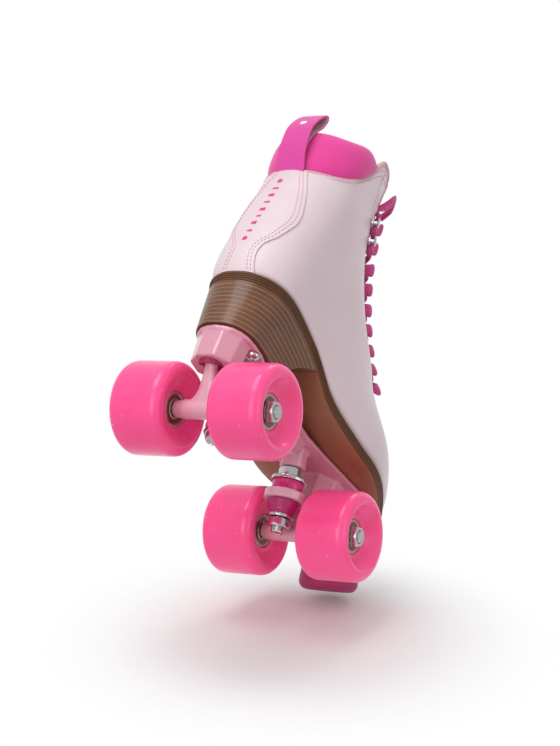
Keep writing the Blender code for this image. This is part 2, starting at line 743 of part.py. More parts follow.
def make_wheel(name, side, end, tyre, steel):
    """A urethane wheel with its two bearings and the axle nut outside it."""
    centre = Vector((side * TRACK / 2, end * WHEELBASE / 2, AXLE_Z))
    half = WHEEL_WIDTH / 2
    lip_r, lip_h = WHEEL_R - WHEEL_LIP, half - WHEEL_LIP
    arc = [
        (lip_r + WHEEL_LIP * math.sin(a), lip_h + WHEEL_LIP * math.cos(a))
        for a in (math.radians(30 * k) for k in range(4))
    ]
    seat = BEARING_R + GAP
    hub = []
    for face, way in ((INNER_FACE, -1), (OUTER_FACE, 1)):
        shoulder = face - BEARING_WIDTH - GAP
        half_hub = [(13.4, face + 0.6), (seat, face + 0.4), (seat, shoulder), (9.0, shoulder)]
        hub += [(r, h * way) for r, h in half_hub[::-way]]
    outer = arc + [(r, -h) for r, h in reversed(arc)]
    place = facing(centre, (side, 0, 0)) @ Matrix.Rotation(math.pi / WHEEL_STEPS, 4, "Z")
    turned(f"wheel_{name}", outer + hub, tyre, place, steps=WHEEL_STEPS, hollow=True)
    for low, where in ((OUTER_FACE - BEARING_WIDTH, "outer"), (-INNER_FACE, "inner")):
        high = low + BEARING_WIDTH
        ring(f"bearing_{name}_{where}", BEARING_R, 4.3, low, high, steel, place)
    return place


def make_axle(end, where, look):
    """The steel axle right through the hanger."""
    axle = Vector((0, end * WHEELBASE / 2, AXLE_Z))
    rod(f"{where}_axle", AXLE_R, -AXLE_END, AXLE_END, look, facing(axle, (1, 0, 0)))


def build():
    upper = material("upper_leather", PINK_SHELL, 0.45)
    make_upper(upper)
    make_insole(material("insole_fabric", (0.8, 0.65, 0.7), 0.9))
    make_outsole(material("sole_leather", (0.27, 0.10, 0.05), 0.45))
    make_heel(material("heel_leather", (0.19, 0.08, 0.04), 0.35))
    make_tongue(material("tongue_leather", PINK_SHELL, 0.5))
    make_collar(material("collar_fabric", HOT_PINK, 0.7))
    make_pull_loop(material("loop_webbing", (0.8, 0.08, 0.42), 0.8))
    make_laces(material("lace_cord", MAGENTA, 0.75))
    chrome = material("chrome", METAL, 0.12, 1.0)
    make_hooks(chrome)
    make_plate(material("plate_paint", (0.82, 0.33, 0.46), 0.3, 0.1))
    make_screws(chrome)
    make_toe_stop(material("stop_rubber", (0.36, 0.01, 0.10), 0.6), chrome)
    hanger_look = material("truck_paint", (0.84, 0.46, 0.57), 0.35, 0.1)
    cup_look = material("pivot_rubber", (0.45, 0.01, 0.12), 0.6)
    soft_top = material("upper_cushion", (0.7, 0.02, 0.22), 0.35)
    soft_bottom = material("lower_cushion", (0.45, 0.02, 0.18), 0.4)
    tyre = material("wheel_urethane", (1.0, 0.10, 0.33), 0.2)
    bearing = material("bearing_steel", (0.55, 0.42, 0.36), 0.3, 1.0)
    for end, where in ((1, "rear"), (-1, "front")):
        make_kingpin_stack(end, where, chrome, soft_top, soft_bottom)
        make_hanger(end, where, hanger_look)
        make_pivot_cup(end, where, cup_look)
        make_axle(end, where, chrome)
        for side, hand in ((-1, "right"), (1, "left")):
            name = f"{where}_{hand}"
            place = make_wheel(name, side, end, tyre, bearing)
            low, high = OUTER_FACE + GAP, OUTER_FACE + GAP + 4.5
            hex_nut(f"axle_nut_{name}", 12.6, AXLE_R + GAP, low, high, chrome, place)


clear_scene()
SKATE = new_collection("quad_skate")
CUTTERS = new_collection("cutters")
build()
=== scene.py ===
# %% [markdown]
# # A quad roller skate, from bare frame to finished look
# The frame already holds every hard part in its true place, in metres, with +Z up and the toe
# towards -Y. Here each part gets its finish, and the soft or rounded ones are modelled again with
# the detail that a plain solid leaves out. Lengths are thought of in millimetres, as a maker would,
# and scaled to metres when a mesh is finished.

import json
import math

import bmesh
import bpy
from mathutils import Matrix, Vector

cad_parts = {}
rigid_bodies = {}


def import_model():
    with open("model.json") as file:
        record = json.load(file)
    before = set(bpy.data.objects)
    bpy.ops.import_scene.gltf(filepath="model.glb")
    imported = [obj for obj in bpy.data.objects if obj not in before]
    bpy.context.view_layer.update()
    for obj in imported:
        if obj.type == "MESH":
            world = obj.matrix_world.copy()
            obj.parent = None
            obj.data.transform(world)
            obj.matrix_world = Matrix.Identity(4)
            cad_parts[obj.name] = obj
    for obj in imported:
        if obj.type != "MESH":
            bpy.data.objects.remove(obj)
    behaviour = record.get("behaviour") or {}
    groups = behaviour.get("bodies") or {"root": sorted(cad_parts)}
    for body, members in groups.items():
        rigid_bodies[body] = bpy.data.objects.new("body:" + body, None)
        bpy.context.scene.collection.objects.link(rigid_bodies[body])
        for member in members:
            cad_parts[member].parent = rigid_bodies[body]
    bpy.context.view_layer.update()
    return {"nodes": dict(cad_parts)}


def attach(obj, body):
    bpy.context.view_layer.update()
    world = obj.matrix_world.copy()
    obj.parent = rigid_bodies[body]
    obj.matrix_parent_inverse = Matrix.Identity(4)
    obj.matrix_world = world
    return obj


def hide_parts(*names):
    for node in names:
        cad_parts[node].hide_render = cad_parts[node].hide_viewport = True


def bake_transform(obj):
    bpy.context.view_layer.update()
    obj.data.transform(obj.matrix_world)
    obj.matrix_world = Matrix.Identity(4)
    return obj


for leftover in list(bpy.data.objects):
    bpy.data.objects.remove(leftover)
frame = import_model()
MM = 0.001
ROOT = "boot_and_plate"
ENDS = ((1, "rear"), (-1, "front"))
SIDES = ((-1, "right"), (1, "left"))
print("frame nodes:", len(frame["nodes"]))

# %% [markdown]
# ## Writing shader sums as Python
# A finish is a small piece of arithmetic: a mask times a colour, a grain plus a scratch. Wiring Math
# nodes by hand hides that. A socket wrapped in a class that knows + - * lets the sum be read as a
# sum, and every other node comes from one method that takes its type, settings and values.


# %% A socket that can be added and multiplied
class Socket:
    """A node's output, usable in ordinary sums."""

    def __init__(self, look, link):
        self.look, self.link = look, link

    def math(self, operation, *others):
        return self.look.node("Math", {"operation": operation}, self, *others)

    def __add__(self, other):
        return self.math("ADD", other)

    def __sub__(self, other):
        return self.math("SUBTRACT", other)

    def __rsub__(self, other):
        return self.look.node("Math", {"operation": "SUBTRACT"}, other, self)

    def __mul__(self, other):
        return self.math("MULTIPLY", other)

    __radd__ = __add__
    __rmul__ = __mul__

    def wave(self):
        """A sine brought into 0 to 1."""
        return self.math("SINE") * 0.5 + 0.5

    def step(self, low, high):
        """0 below low, 1 above high, and smooth between."""
        settings = {"interpolation_type": "SMOOTHSTEP"}
        return self.look.node("MapRange", settings, self, low, high, 0.0, 1.0)


# %% A finish that is built node by node
class Look:
    """A material, its Principled shader, and one method that adds any node."""

    def __init__(self, name, colour, **constants):
        self.material = bpy.data.materials.new(name)
        self.material.use_nodes = True
        self.tree = self.material.node_tree
        self.shader = self.tree.nodes["Principled BSDF"]
        self.shader.inputs["Base Color"].default_value = (*colour, 1)
        for key, value in constants.items():
            self.shader.inputs[key.replace("_", " ")].default_value = value

    def node(self, kind, settings=None, *values, out=0, **named):
        made = self.tree.nodes.new("ShaderNode" + kind)
        for key, value in (settings or {}).items():
            setattr(made, key, value)
        named = {key.replace("_", " "): value for key, value in named.items()}
        for key, value in [*enumerate(values), *named.items()]:
            if isinstance(value, Socket):
                self.tree.links.new(value.link, made.inputs[key])
            else:
                made.inputs[key].default_value = value
        return Socket(self, made.outputs[out])

    def place(self):
        """Where the point is on the object, in metres."""
        return self.node("TexCoord", out="Object")

    def read(self, name):
        """A number that was stored on the mesh."""
        return self.node("Attribute", {"attribute_name": name}, out="Fac")

    def noise(self, scale, detail=2.0, rough=0.5):
        return self.node(
            "TexNoise", None, out="Fac", Vector=self.place(), Scale=scale, Detail=detail, Roughness=rough
        )

    def cells(self, scale, out="Distance"):
        return self.node("TexVoronoi", None, out=out, Vector=self.place(), Scale=scale)

    def mix(self, factor, first, second):
        """One colour turning into another; each is a socket or three numbers."""
        mixer = self.tree.nodes.new("ShaderNodeMix")
        mixer.data_type = "RGBA"
        for index, value in ((0, factor), (6, first), (7, second)):
            if isinstance(value, Socket):
                self.tree.links.new(value.link, mixer.inputs[index])
            else:
                mixer.inputs[index].default_value = value if index == 0 else (*value, 1)
        return Socket(self, mixer.outputs[2])

    def feed(self, **sockets):
        for key, value in sockets.items():
            self.tree.links.new(value.link, self.shader.inputs[key.replace("_", " ")])
        return self

    def relief(self, height, depth, round_edge=0.0):
        """Turns a height of 0 to 1 into a bump that is depth metres tall."""
        named = {"Strength": 1.0, "Distance": depth, "Height": height}
        if round_edge:
            named["Normal"] = self.node("Bevel", {"samples": 4}, Radius=round_edge)
        return self.feed(Normal=self.node("Bump", None, **named))


# %% [markdown]
# ## The boot leather
# The upper is a coated leather: a calm, slightly glossy skin with a very fine pebble. Cells give the
# pebble, a slow noise tints the hide a little, and the roughness follows the pebble so that the
# light breaks up. A printed grain picture would repeat, so the pattern is worked out instead.


# %% Leather finishes
def leather(name, colour, shade, pebble=900.0, rough=0.4, depth=0.00006, **constants):
    look = Look(name, colour, **constants)
    grain = look.cells(pebble).step(0.02, 0.55)
    cloud = look.noise(28.0, 3.0).step(0.35, 0.7)
    fine = look.noise(2600.0, 2.0)
    look.feed(
        Base_Color=look.mix(cloud * 0.55 + (1 - grain) * 0.25, colour, shade),
        Roughness=rough + fine * 0.12 - grain * 0.05,
    )
    return look.relief(grain * 0.8 + fine * 0.35, depth)


SHELL_PINK = (0.78, 0.635, 0.675)
upper_leather = leather(
    "shell pink leather", SHELL_PINK, (0.74, 0.585, 0.63), Coat_Weight=0.12, Coat_Roughness=0.3
)
binding_leather = leather("tan pink binding", (0.66, 0.42, 0.42), (0.56, 0.34, 0.35), rough=0.5)
lining = leather("pale lining", (0.72, 0.55, 0.60), (0.62, 0.46, 0.52), 1400.0, 0.7)
print("leathers:", upper_leather.material.name, binding_leather.material.name)

# %% [markdown]
# ## Stacked leather
# The heel and the welt are layers of stiff leather glued together and sanded flush, so their edges
# show thin light lines that follow the stack and bend with it. The mesh stores how high up the
# stack each point is, as a number called layer, and the lines are a wave of that number.


# %% Heel and sole finishes
def stacked(name, dark, light, lines, **constants):
    look = Look(name, dark, **constants)
    wobble = look.noise(60.0, 2.0) * 0.05
    height = look.read("layer") * lines + wobble
    line = (height * math.tau).wave().step(0.93, 1.0)
    fibre = look.noise(900.0, 4.0, 0.65)
    tone = look.noise(35.0, 3.0).step(0.3, 0.75)
    body = look.mix(tone * 0.6 + fibre * 0.35, dark, tuple(c * 1.75 for c in dark))
    look.feed(
        Base_Color=look.mix(line * (0.45 + fibre * 0.5), body, light),
        Roughness=0.30 + fibre * 0.2 + line * 0.1,
    )
    return look.relief(fibre * 0.4 + (1 - line) * 0.8, 0.00012)


HEEL_LINES, WELT_LINES = 10.0, 4.0
heel_edge = stacked(
    "stacked heel leather",
    (0.112, 0.045, 0.022),
    (0.48, 0.28, 0.15),
    HEEL_LINES,
    Coat_Weight=0.4,
    Coat_Roughness=0.2,
    Specular_IOR_Level=0.3,
)
sole_edge = stacked(
    "welt leather", (0.092, 0.036, 0.018), (0.34, 0.19, 0.10), WELT_LINES, Specular_IOR_Level=0.2
)
sole_face = leather("sole leather", (0.34, 0.125, 0.064), (0.24, 0.084, 0.042), 700.0, 0.42, 0.00008)
print("stacked finishes:", heel_edge.material.name, sole_edge.material.name)


# %% [markdown]
# ## Cloth, webbing and thread
# Webbing and laces are woven, and a weave follows the strap. Two numbers stored along and across the
# strap drive a pair of waves, one for the warp and one for the weft, whose product is the small
# diamond of a twill. The collar is smooth knit over foam, with a soft sheen.


# %% Woven finishes
def woven(name, colour, shade, warp, weft, depth, rough=0.75, **constants):
    look = Look(name, colour, **constants)
    along, across = look.read("along"), look.read("across")
    rib = (across * (math.tau / warp) + (along * (math.tau / weft)).wave() * 1.6).wave()
    thread = (along * (math.tau / weft)).wave()
    weave = rib * 0.65 + thread * rib * 0.35
    fuzz = look.noise(2200.0, 3.0, 0.7)
    look.feed(
        Base_Color=look.mix(weave * 0.75 + fuzz * 0.3, shade, colour),
        Roughness=rough + fuzz * 0.15,
    )
    return look.relief(weave + fuzz * 0.25, depth)


loop_webbing = woven(
    "hot pink webbing", (0.90, 0.095, 0.47), (0.58, 0.02, 0.24), 1.1, 1.3, 0.00012, Sheen_Weight=0.3
)
pale_webbing = woven("pale webbing", (0.78, 0.52, 0.61), (0.62, 0.33, 0.43), 1.1, 1.3, 0.00012)
lace_weave = woven(
    "magenta lace", (0.88, 0.065, 0.38), (0.52, 0.014, 0.18), 0.9, 1.1, 0.00018, Sheen_Weight=0.35
)


def knit(name, colour, shade, scale=2400.0, depth=0.00006):
    look = Look(name, colour, Sheen_Weight=0.45, Sheen_Roughness=0.4)
    loops = look.cells(scale).step(0.05, 0.5)
    soft = look.noise(30.0, 2.0)
    look.feed(
        Base_Color=look.mix(loops * 0.5 + soft * 0.45, shade, colour),
        Roughness=0.62 + loops * 0.15,
    )
    return look.relief(loops, depth)


collar_knit = knit("hot pink collar knit", (0.86, 0.055, 0.35), (0.70, 0.03, 0.26))
insole_knit = knit("insole knit", (0.66, 0.50, 0.55), (0.50, 0.36, 0.41), 1500.0)
thread_look = Look("rose thread", (0.76, 0.42, 0.52), Roughness=0.6, Sheen_Weight=0.3)
strands = thread_look.noise(1800.0, 2.0)
thread_look.feed(Base_Color=thread_look.mix(strands, (0.68, 0.34, 0.44), (0.84, 0.52, 0.61)))


def printed(name, colour, rough):
    look = Look(name, colour)
    return look.feed(Roughness=rough + look.noise(1500.0) * 0.15)


print_look = printed("printed pink", (0.80, 0.03, 0.27), 0.40)
white_print = printed("printed white", (0.90, 0.86, 0.88), 0.45)
print("woven finishes:", loop_webbing.material.name, lace_weave.material.name)

# %% [markdown]
# ## Metal, paint, rubber and wheel urethane
# The plate and trucks are cast aluminium under a pearly pink powder coat: the coat is smooth but
# never flat, so it gets a slight orange peel. Fasteners are bright chrome with faint smudges. The
# wheels are cast urethane: light sinks in a little, so they get subsurface, and a few pale specks.
# Wheels and cushions also get a weak emission of their own colour: painted light, as urethane is no lamp.


# %% Hard finishes
def powder_coat(name, colour, shade, rough):
    look = Look(name, colour, Metallic=0.12, Coat_Weight=0.5, Coat_Roughness=0.14)
    peel = look.noise(420.0, 2.0)
    look.feed(
        Base_Color=look.mix(look.noise(22.0, 2.0) * 0.7, colour, shade),
        Roughness=rough + peel * 0.08,
    )
    return look.relief(peel, 0.000008)


plate_paint = powder_coat("pearl pink plate paint", (0.76, 0.345, 0.45), (0.70, 0.30, 0.40), 0.22)
truck_paint = powder_coat("pale pink truck paint", (0.80, 0.44, 0.54), (0.73, 0.37, 0.47), 0.34)


def bright_metal(name, colour, rough, smudge=0.1, edge=0.00035):
    look = Look(name, colour, Metallic=1.0)
    haze = look.noise(160.0, 4.0, 0.6).step(0.35, 0.75)
    look.feed(
        Base_Color=look.mix(haze * 0.3, colour, tuple(c * 0.8 for c in colour)),
        Roughness=rough + haze * smudge,
    )
    return look.relief(look.noise(1500.0, 2.0), 0.00001, edge)


chrome = bright_metal("bright chrome", (0.68, 0.68, 0.70), 0.07)
bearing_race = bright_metal("oiled bearing steel", (0.58, 0.46, 0.40), 0.24, 0.15)
# The shield's dark colour is painted shade in the sunken gap between the races.
shield_in_painted_shade = bright_metal("bearing shield in painted shade", (0.24, 0.17, 0.15), 0.34, 0.15)


def urethane(name, colour, deep, rough, translucency_and_painted_glow, specks=0.0):
    look = Look(
        name,
        colour,
        Subsurface_Weight=translucency_and_painted_glow,
        Subsurface_Radius=(0.9, 0.25, 0.35),
        Subsurface_Scale=0.006,
        # Emission makes the urethane shine from within though it is no lamp: painted light, on top of the
        # real subsurface.
        Emission_Color=(*colour, 1),
        Emission_Strength=translucency_and_painted_glow * 0.32,
        Coat_Weight=0.3,
        Coat_Roughness=0.16,
    )
    cloud = look.noise(45.0, 2.0).step(0.3, 0.75)
    tint = look.mix(cloud * 0.6, colour, deep)
    if specks:
        spot = 1 - look.cells(170.0).step(0.03, specks)
        tint = look.mix(spot * 0.7, tint, (1.0, 0.75, 0.84))
    skin = look.noise(700.0, 3.0)
    look.feed(Base_Color=tint, Roughness=rough + skin * 0.1 + cloud * 0.04)
    return look.relief(skin, 0.000012)


wheel_urethane = urethane(
    "hot pink wheel urethane", (0.98, 0.080, 0.29), (0.94, 0.055, 0.235), 0.24, 0.35, specks=0.09
)
upper_urethane = urethane("magenta cushion", (0.62, 0.015, 0.17), (0.50, 0.01, 0.13), 0.2, 0.25)
lower_urethane = urethane("plum cushion", (0.47, 0.014, 0.15), (0.36, 0.01, 0.11), 0.26, 0.2)


def rubber(name, colour, shade, rough=0.5):
    look = Look(name, colour)
    grit = look.noise(1300.0, 4.0, 0.7)
    look.feed(
        Base_Color=look.mix(grit * 0.5 + look.noise(50.0).step(0.3, 0.7) * 0.4, colour, shade),
        Roughness=rough + grit * 0.15,
    )
    return look.relief(grit, 0.00006)


stop_rubber = rubber("plum stop rubber", (0.40, 0.018, 0.13), (0.28, 0.01, 0.09), 0.42)
pivot_rubber = rubber("pivot rubber", (0.40, 0.012, 0.10), (0.28, 0.01, 0.07))
print("materials:", len(bpy.data.materials))

# %% [markdown]
# ## Small tools for making pieces
# Round parts are one outline spun about an axis. Everything else on this skate is a line of edges
# that is pulled from place to place, like cloth drawn over a last. So two makers are enough: lathe
# spins, and loft extrudes a line and moves it. The loft can store numbers on the mesh as it goes.


# %% Finishing, placing and spinning
def as_mesh(name, bm):
    mesh = bpy.data.meshes.new(name)
    bm.to_mesh(mesh)
    bm.free()
    return mesh


def shown(name, data):
    """An object in the scene that carries the data."""
    made = bpy.data.objects.new(name, data)
    bpy.context.scene.collection.objects.link(made)
    return made


def finished(name, bm, look, slot, body, *nodes, sharp=40):
    """A mesh in millimetres becomes a finished piece that sits at the origin."""
    bmesh.ops.scale(bm, vec=(MM, MM, MM), verts=bm.verts)
    mesh = as_mesh(name, bm)
    made = shown(name, mesh)
    for one in look if isinstance(look, (list, tuple)) else [look]:
        mesh.materials.append(one.material)
    mesh.shade_smooth()
    mesh.set_sharp_from_angle(angle=math.radians(sharp))
    if nodes:
        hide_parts(*nodes)
    if body:
        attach(made, body)
    return made


def facing(point, direction):
    """Turns local +Z to a direction and moves the origin to a point."""
    turn = Vector(direction).to_track_quat("Z", "Y").to_matrix().to_4x4()
    return Matrix.Translation(Vector(point)) @ turn


def eased(outline, radius, closed=False, steps=4):
    """Rounds an outline's corners, so that edges catch the light as real ones do."""
    points = [Vector((*p[:2], 0)) for p in outline]
    sizes = [p[2] if len(p) > 2 else radius for p in outline]
    made = []
    for k, point in enumerate(points):
        if not closed and k in (0, len(points) - 1):
            made.append(point)
            continue
        before, after = points[k - 1], points[(k + 1) % len(points)]
        reach = min(sizes[k], (before - point).length * 0.45, (after - point).length * 0.45)
        start = point + (before - point).normalized() * reach
        end = point + (after - point).normalized() * reach
        for j in range(steps + 1):
            t = j / steps
            made.append(start * (1 - t) ** 2 + point * 2 * t * (1 - t) + end * t * t)
    return [(p.x, p.y) for p in made]


def lathe(outline, place, steps=72, closed=False, bm=None):
    """Spins an outline of (radius, height) about local Z."""
    bm = bm or bmesh.new()
    corners = [bm.verts.new((r, 0, h)) for r, h in outline]
    pairs = list(zip(corners, corners[1:])) + ([(corners[-1], corners[0])] if closed else [])
    edges = [bm.edges.new(pair) for pair in pairs]
    bmesh.ops.spin(
        bm, geom=corners + edges, cent=(0, 0, 0), axis=(0, 0, 1), angle=math.tau, steps=steps, use_merge=True
    )
    fresh = [v for v in bm.verts if not v.tag]
    bmesh.ops.remove_doubles(bm, verts=fresh, dist=0.0005)
    fresh = [v for v in bm.verts if not v.tag]
    faces = {f for v in fresh for f in v.link_faces}
    bmesh.ops.recalc_face_normals(bm, faces=list(faces))
    bmesh.ops.transform(bm, matrix=place, verts=fresh)
    for v in bm.verts:
        v.tag = True
    return bm


# %% Drawing a line of edges over a shape
def loft(rows, closed=False, numbers=None, skins=None):
    """Extrudes a row of edges from row to row. numbers maps a name to rows of values,
    and skins gives the material of each band between two rows."""
    bm = bmesh.new()
    layers = {key: bm.verts.layers.float.new(key) for key in (numbers or {})}
    line = [bm.verts.new(p) for p in rows[0]]
    edges = [bm.edges.new(pair) for pair in zip(line, line[1:])]
    if closed:
        edges.append(bm.edges.new((line[-1], line[0])))
    lines = [line]
    for band, row in enumerate(rows[1:]):
        grown = bmesh.ops.extrude_edge_only(bm, edges=edges)["geom"]
        fresh = {g for g in grown if isinstance(g, bmesh.types.BMVert)}
        line = [next(e.other_vert(v) for e in v.link_edges if e.other_vert(v) in fresh) for v in line]
        edges = [e for e in grown if isinstance(e, bmesh.types.BMEdge) and all(v in fresh for v in e.verts)]
        for vertex, point in zip(line, row):
            vertex.co = point
        for face in (g for g in grown if skins and isinstance(g, bmesh.types.BMFace)):
            face.material_index = skins[band]
        lines.append(line)
    for key, layer in layers.items():
        for line, values in zip(lines, numbers[key]):
            for vertex, value in zip(line, values):
                vertex[layer] = value
    return bm


def close_up(bm, mirrored=False):
    """Merges doubles, mirrors a half if asked and points faces out."""
    bmesh.ops.remove_doubles(bm, verts=bm.verts, dist=0.002)
    if mirrored:
        bmesh.ops.mirror(bm, geom=bm.verts[:] + bm.edges[:] + bm.faces[:], axis="X", merge_dist=0.002)
    bmesh.ops.recalc_face_normals(bm, faces=bm.faces)
    widest = max(bm.faces, key=lambda face: face.calc_center_median().x)
    if widest.normal.x < 0:
        bmesh.ops.reverse_faces(bm, faces=bm.faces)
    return bm


def seal(bm):
    """Caps open ends and points faces out."""
    bmesh.ops.holes_fill(bm, edges=[e for e in bm.edges if e.is_boundary], sides=0)
    bmesh.ops.recalc_face_normals(bm, faces=bm.faces)
    return bm


def smoothed(piece):
    smooth = piece.modifiers.new("smooth skin", "SUBSURF")
    smooth.levels = smooth.render_levels = 1


def thickened(piece, thickness, offset, inner_material=0):
    wall = piece.modifiers.new("leather thickness", "SOLIDIFY")
    wall.thickness, wall.offset, wall.material_offset = thickness * MM, offset, inner_material


def with_middle(rows):
    """Adds a first and a last row on the middle line, so that a mirrored half closes."""
    first, last = ([Vector((0, p.y, p.z)) for p in row] for row in (rows[0], rows[-1]))
    return [first, *rows, last]


print("makers ready: lathe and loft")

# %% [markdown]
# ## Camera, floor and light
# The skate leans forward on its toe stop and is seen from below and behind, so it is the camera
# that is low, and the pale floor is tilted to touch the toe stop's rim. The floor fades out at its
# edge, and a pale sky lights everything softly, as in a white studio.

# %% Camera and floor
camera = shown("camera", bpy.data.cameras.new("camera"))
bpy.context.scene.camera = camera
camera.data.sensor_width, camera.data.lens = 36, 97.48
camera_at = (-0.64813, 0.90052, -0.56254)
right = Vector((-0.86316, -0.39218, 0.31804))
up = Vector((0.01830, 0.60517, 0.79589))
ahead = Vector((0.50460, -0.69280, 0.51518))
facing_skate = Matrix((right, up, -ahead)).transposed().to_4x4()
camera.matrix_world = Matrix.Translation(camera_at) @ facing_skate

tilt = math.radians(15)
floor_up = (up * math.cos(tilt) - ahead * math.sin(tilt)).normalized()
stop_rim, FLOOR_R, FADE_FROM, FADE_TO = Vector((0, -0.1485, 0.0339)), 0.175, 0.06, 0.17
floor_look = Look("pale studio floor", (0.86, 0.86, 0.86), Roughness=0.9)
nearer = (-ahead - floor_up * ahead.dot(-floor_up)).normalized()
middle = stop_rim + nearer * 0.075 - right * 0.03 - floor_up * 0.0006
spread = floor_look.node("VectorMath", {"operation": "DISTANCE"}, floor_look.place(), tuple(middle), out=1)
floor_look.feed(Alpha=1 - spread.step(FADE_FROM, FADE_TO), Roughness=0.85 + floor_look.noise(40.0) * 0.1)
bm = bmesh.new()
bmesh.ops.create_circle(bm, cap_ends=True, segments=96, radius=FLOOR_R, matrix=facing(middle, floor_up))
mesh = as_mesh("studio_floor", bm)
mesh.materials.append(floor_look.material)
floor = shown("studio_floor", mesh)
print("floor normal:", [round(c, 3) for c in floor_up])

# %% Lights and sky
world = bpy.data.worlds.new("white studio")
world.use_nodes = True
sky = world.node_tree
from_where = sky.nodes.new("ShaderNodeTexCoord").outputs["Generated"]
toward = sky.nodes.new("ShaderNodeVectorMath")
toward.operation = "DOT_PRODUCT"
toward.inputs[1].default_value = ahead
sky.links.new(from_where, toward.inputs[0])
ramp = sky.nodes.new("ShaderNodeMapRange")
for name, value in (("From Min", 0.45), ("From Max", 0.92), ("To Min", 0.52), ("To Max", 1.0)):
    ramp.inputs[name].default_value = value
sky.links.new(toward.outputs["Value"], ramp.inputs[0])
sky.links.new(ramp.outputs[0], sky.nodes["Background"].inputs["Strength"])
sky.nodes["Background"].inputs["Color"].default_value = (1, 1, 1, 1)
bpy.context.scene.world = world
bpy.context.scene.view_settings.view_transform = "Standard"
target = Vector((0, 0, 0.13))


def softbox(name, offset, size, power):
    """A square area light that looks at the skate."""
    lamp = bpy.data.lights.new(name, "AREA")
    lamp.size, lamp.energy = size, power
    made = shown(name, lamp)
    made.location = target + offset
    made.rotation_euler = (-offset).to_track_quat("-Z", "Y").to_euler()


softbox("key", up * 1.2 - ahead * 0.5 - right * 0.35, 0.9, 8.0)
softbox("front", up * 0.2 - ahead * 1.2 - right * 0.6, 0.9, 5.0)
softbox("fill", right * 1.1 - ahead * 0.8, 0.8, 1.9)
softbox("rim", ahead * 0.6 + up * 1.2 + right * 0.5, 0.5, 2)

# %% [markdown]
# ## The last: one surface that everything on the boot follows
# A shoemaker stretches leather over a last. Here the last is a stack of rings, each with a front and
# a back point, four half widths, and how far its nose and heel round off. Reading between the rings
# gives a point anywhere on the boot, so the shell, panels, stitches and sole all fit each other.

# %% Rings of the last
THROAT = 9.0
SHELL = 2.4
RINGS = (
    (-141, 82, 92.5, 115, 35.0, 43.5, 30.0, 28.0, 78, 30),
    (-141, 96, 94.5, 124, 34.0, 43.0, 31.0, 30.0, 76, 31),
    (-137, 109, 94.5, 134, 30.0, 40.0, 31.5, 31.0, 70, 32),
    (-125, 120, 93.0, 145, 22.5, 34.5, 32.0, 31.5, 62, 32),
    (-108, 131, 91.5, 155, 18.0, 31.0, 32.5, 31.5, 52, 32),
    (-91, 147, 89.5, 164, 17.5, 29.5, 32.5, 31.5, 44, 32),
    (-66, 162, 88.0, 173, 17.0, 29.0, 32.5, 31.5, 40, 32),
    (-43, 182, 86.5, 181, 17.0, 28.5, 32.5, 31.5, 36, 32),
    (-27, 206, 85.0, 188, 16.5, 27.0, 32.5, 31.0, 34, 32),
    (-19, 230, 84.0, 195, 16.0, 25.5, 32.5, 31.0, 32, 32),
    (-16, 253, 83.0, 201, 15.5, 24.0, 32.0, 30.5, 30, 32),
    (-17, 276, 82.0, 207, 15.0, 22.5, 31.5, 30.0, 28, 32),
)
TOP = len(RINGS) - 1
SOLE_LINE = ((-45, 82), (-21, 87), (-4, 93), (5, 99), (21, 108), (42, 113), (58, 115))
TOP_LINE = ((-17, 276), (0, 275), (10, 273), (18, 270), (28, 257))
TOP_LINE += ((36, 244), (48, 228), (60, 217), (70, 211), (82, 207))


def curved(knots, at):
    """Value at a position on a smooth curve through (position, value) knots."""
    at = min(max(at, knots[0][0]), knots[-1][0])
    ends = [knots[0], *knots, knots[-1]]
    for (pa, va), (p0, v0), (p1, v1), (pb, vb) in zip(ends, ends[1:], ends[2:], ends[3:]):
        if p0 <= at <= p1 and p1 > p0:
            span = p1 - p0
            t = (at - p0) / span
            leave, arrive = (v1 - va) / (p1 - pa) * span, (vb - v0) / (pb - p0) * span
            lead = v0 * (2 * t**3 - 3 * t**2 + 1) + v1 * (3 * t**2 - 2 * t**3)
            return lead + leave * (t**3 - 2 * t**2 + t) + arrive * (t**3 - t**2)
    return knots[-1][1]


def ring(level):
    """The ten numbers of the last at any level from 0, the sole, to the top line."""
    return [curved([(k, row[c]) for k, row in enumerate(RINGS)], level) for c in range(10)]


def swell(t, power=2.2):
    t = min(max(t, 0), 1)
    return (1 - (1 - t) ** power) ** (1 / power)


def half_width(r, share):
    """Half width of a ring at a share of the way from its front to its back."""
    length = r[2] - r[0]
    width = curved(list(zip((0.1, 0.36, 0.66, 0.9), r[4:8])), share)
    return width * swell(share * length / r[8]) * swell((1 - share) * length / r[9])


def height(r, level, y):
    """Height of the ring's line at y."""
    chord = r[1] + (r[3] - r[1]) * (y - r[0]) / (r[2] - r[0])
    low = RINGS[0]
    base = low[1] + (low[3] - low[1]) * (y - low[0]) / (low[2] - low[0])
    line = chord + max(0, 1 - level / 4) * (curved(SOLE_LINE, y) - base)
    lift = max(0, level - TOP + 1)
    return line * (1 - lift) + curved(TOP_LINE, y) * lift


def share_at(r, half, near_back=False):
    """Share of the way back where a ring is that half width, near its front or its back."""
    low, high = (1.0, 0.72) if near_back else (0.0, 0.3)
    for _ in range(26):
        middle = (low + high) / 2
        if half_width(r, middle) < half:
            low = middle
        else:
            high = middle
    return high


def on_last(level, share, off=0.0, side=-1, half=None):
    """A point on the boot's skin, moved off it along the surface's normal."""
    def spot(level, share):
        r = ring(level)
        y = r[0] + (r[2] - r[0]) * share
        return Vector((half_width(r, share) * side, y, height(r, level, y)))

    here = spot(level, share)
    if half is not None:
        here.x = half * side
    if off:
        step = 0.012
        along = spot(level, min(share + step, 1)) - spot(level, max(share - step, 0))
        rise = spot(min(level + 0.1, TOP), share) - spot(max(level - 0.1, 0), share)
        normal = along.cross(rise).normalized()
        if normal.dot(Vector((here.x, here.y - 10, 0))) < 0:
            normal = -normal
        if half == 0 or abs(here.x) < 0.3:
            normal.x = 0
            normal.normalize()
        here = here + normal * off
    return here


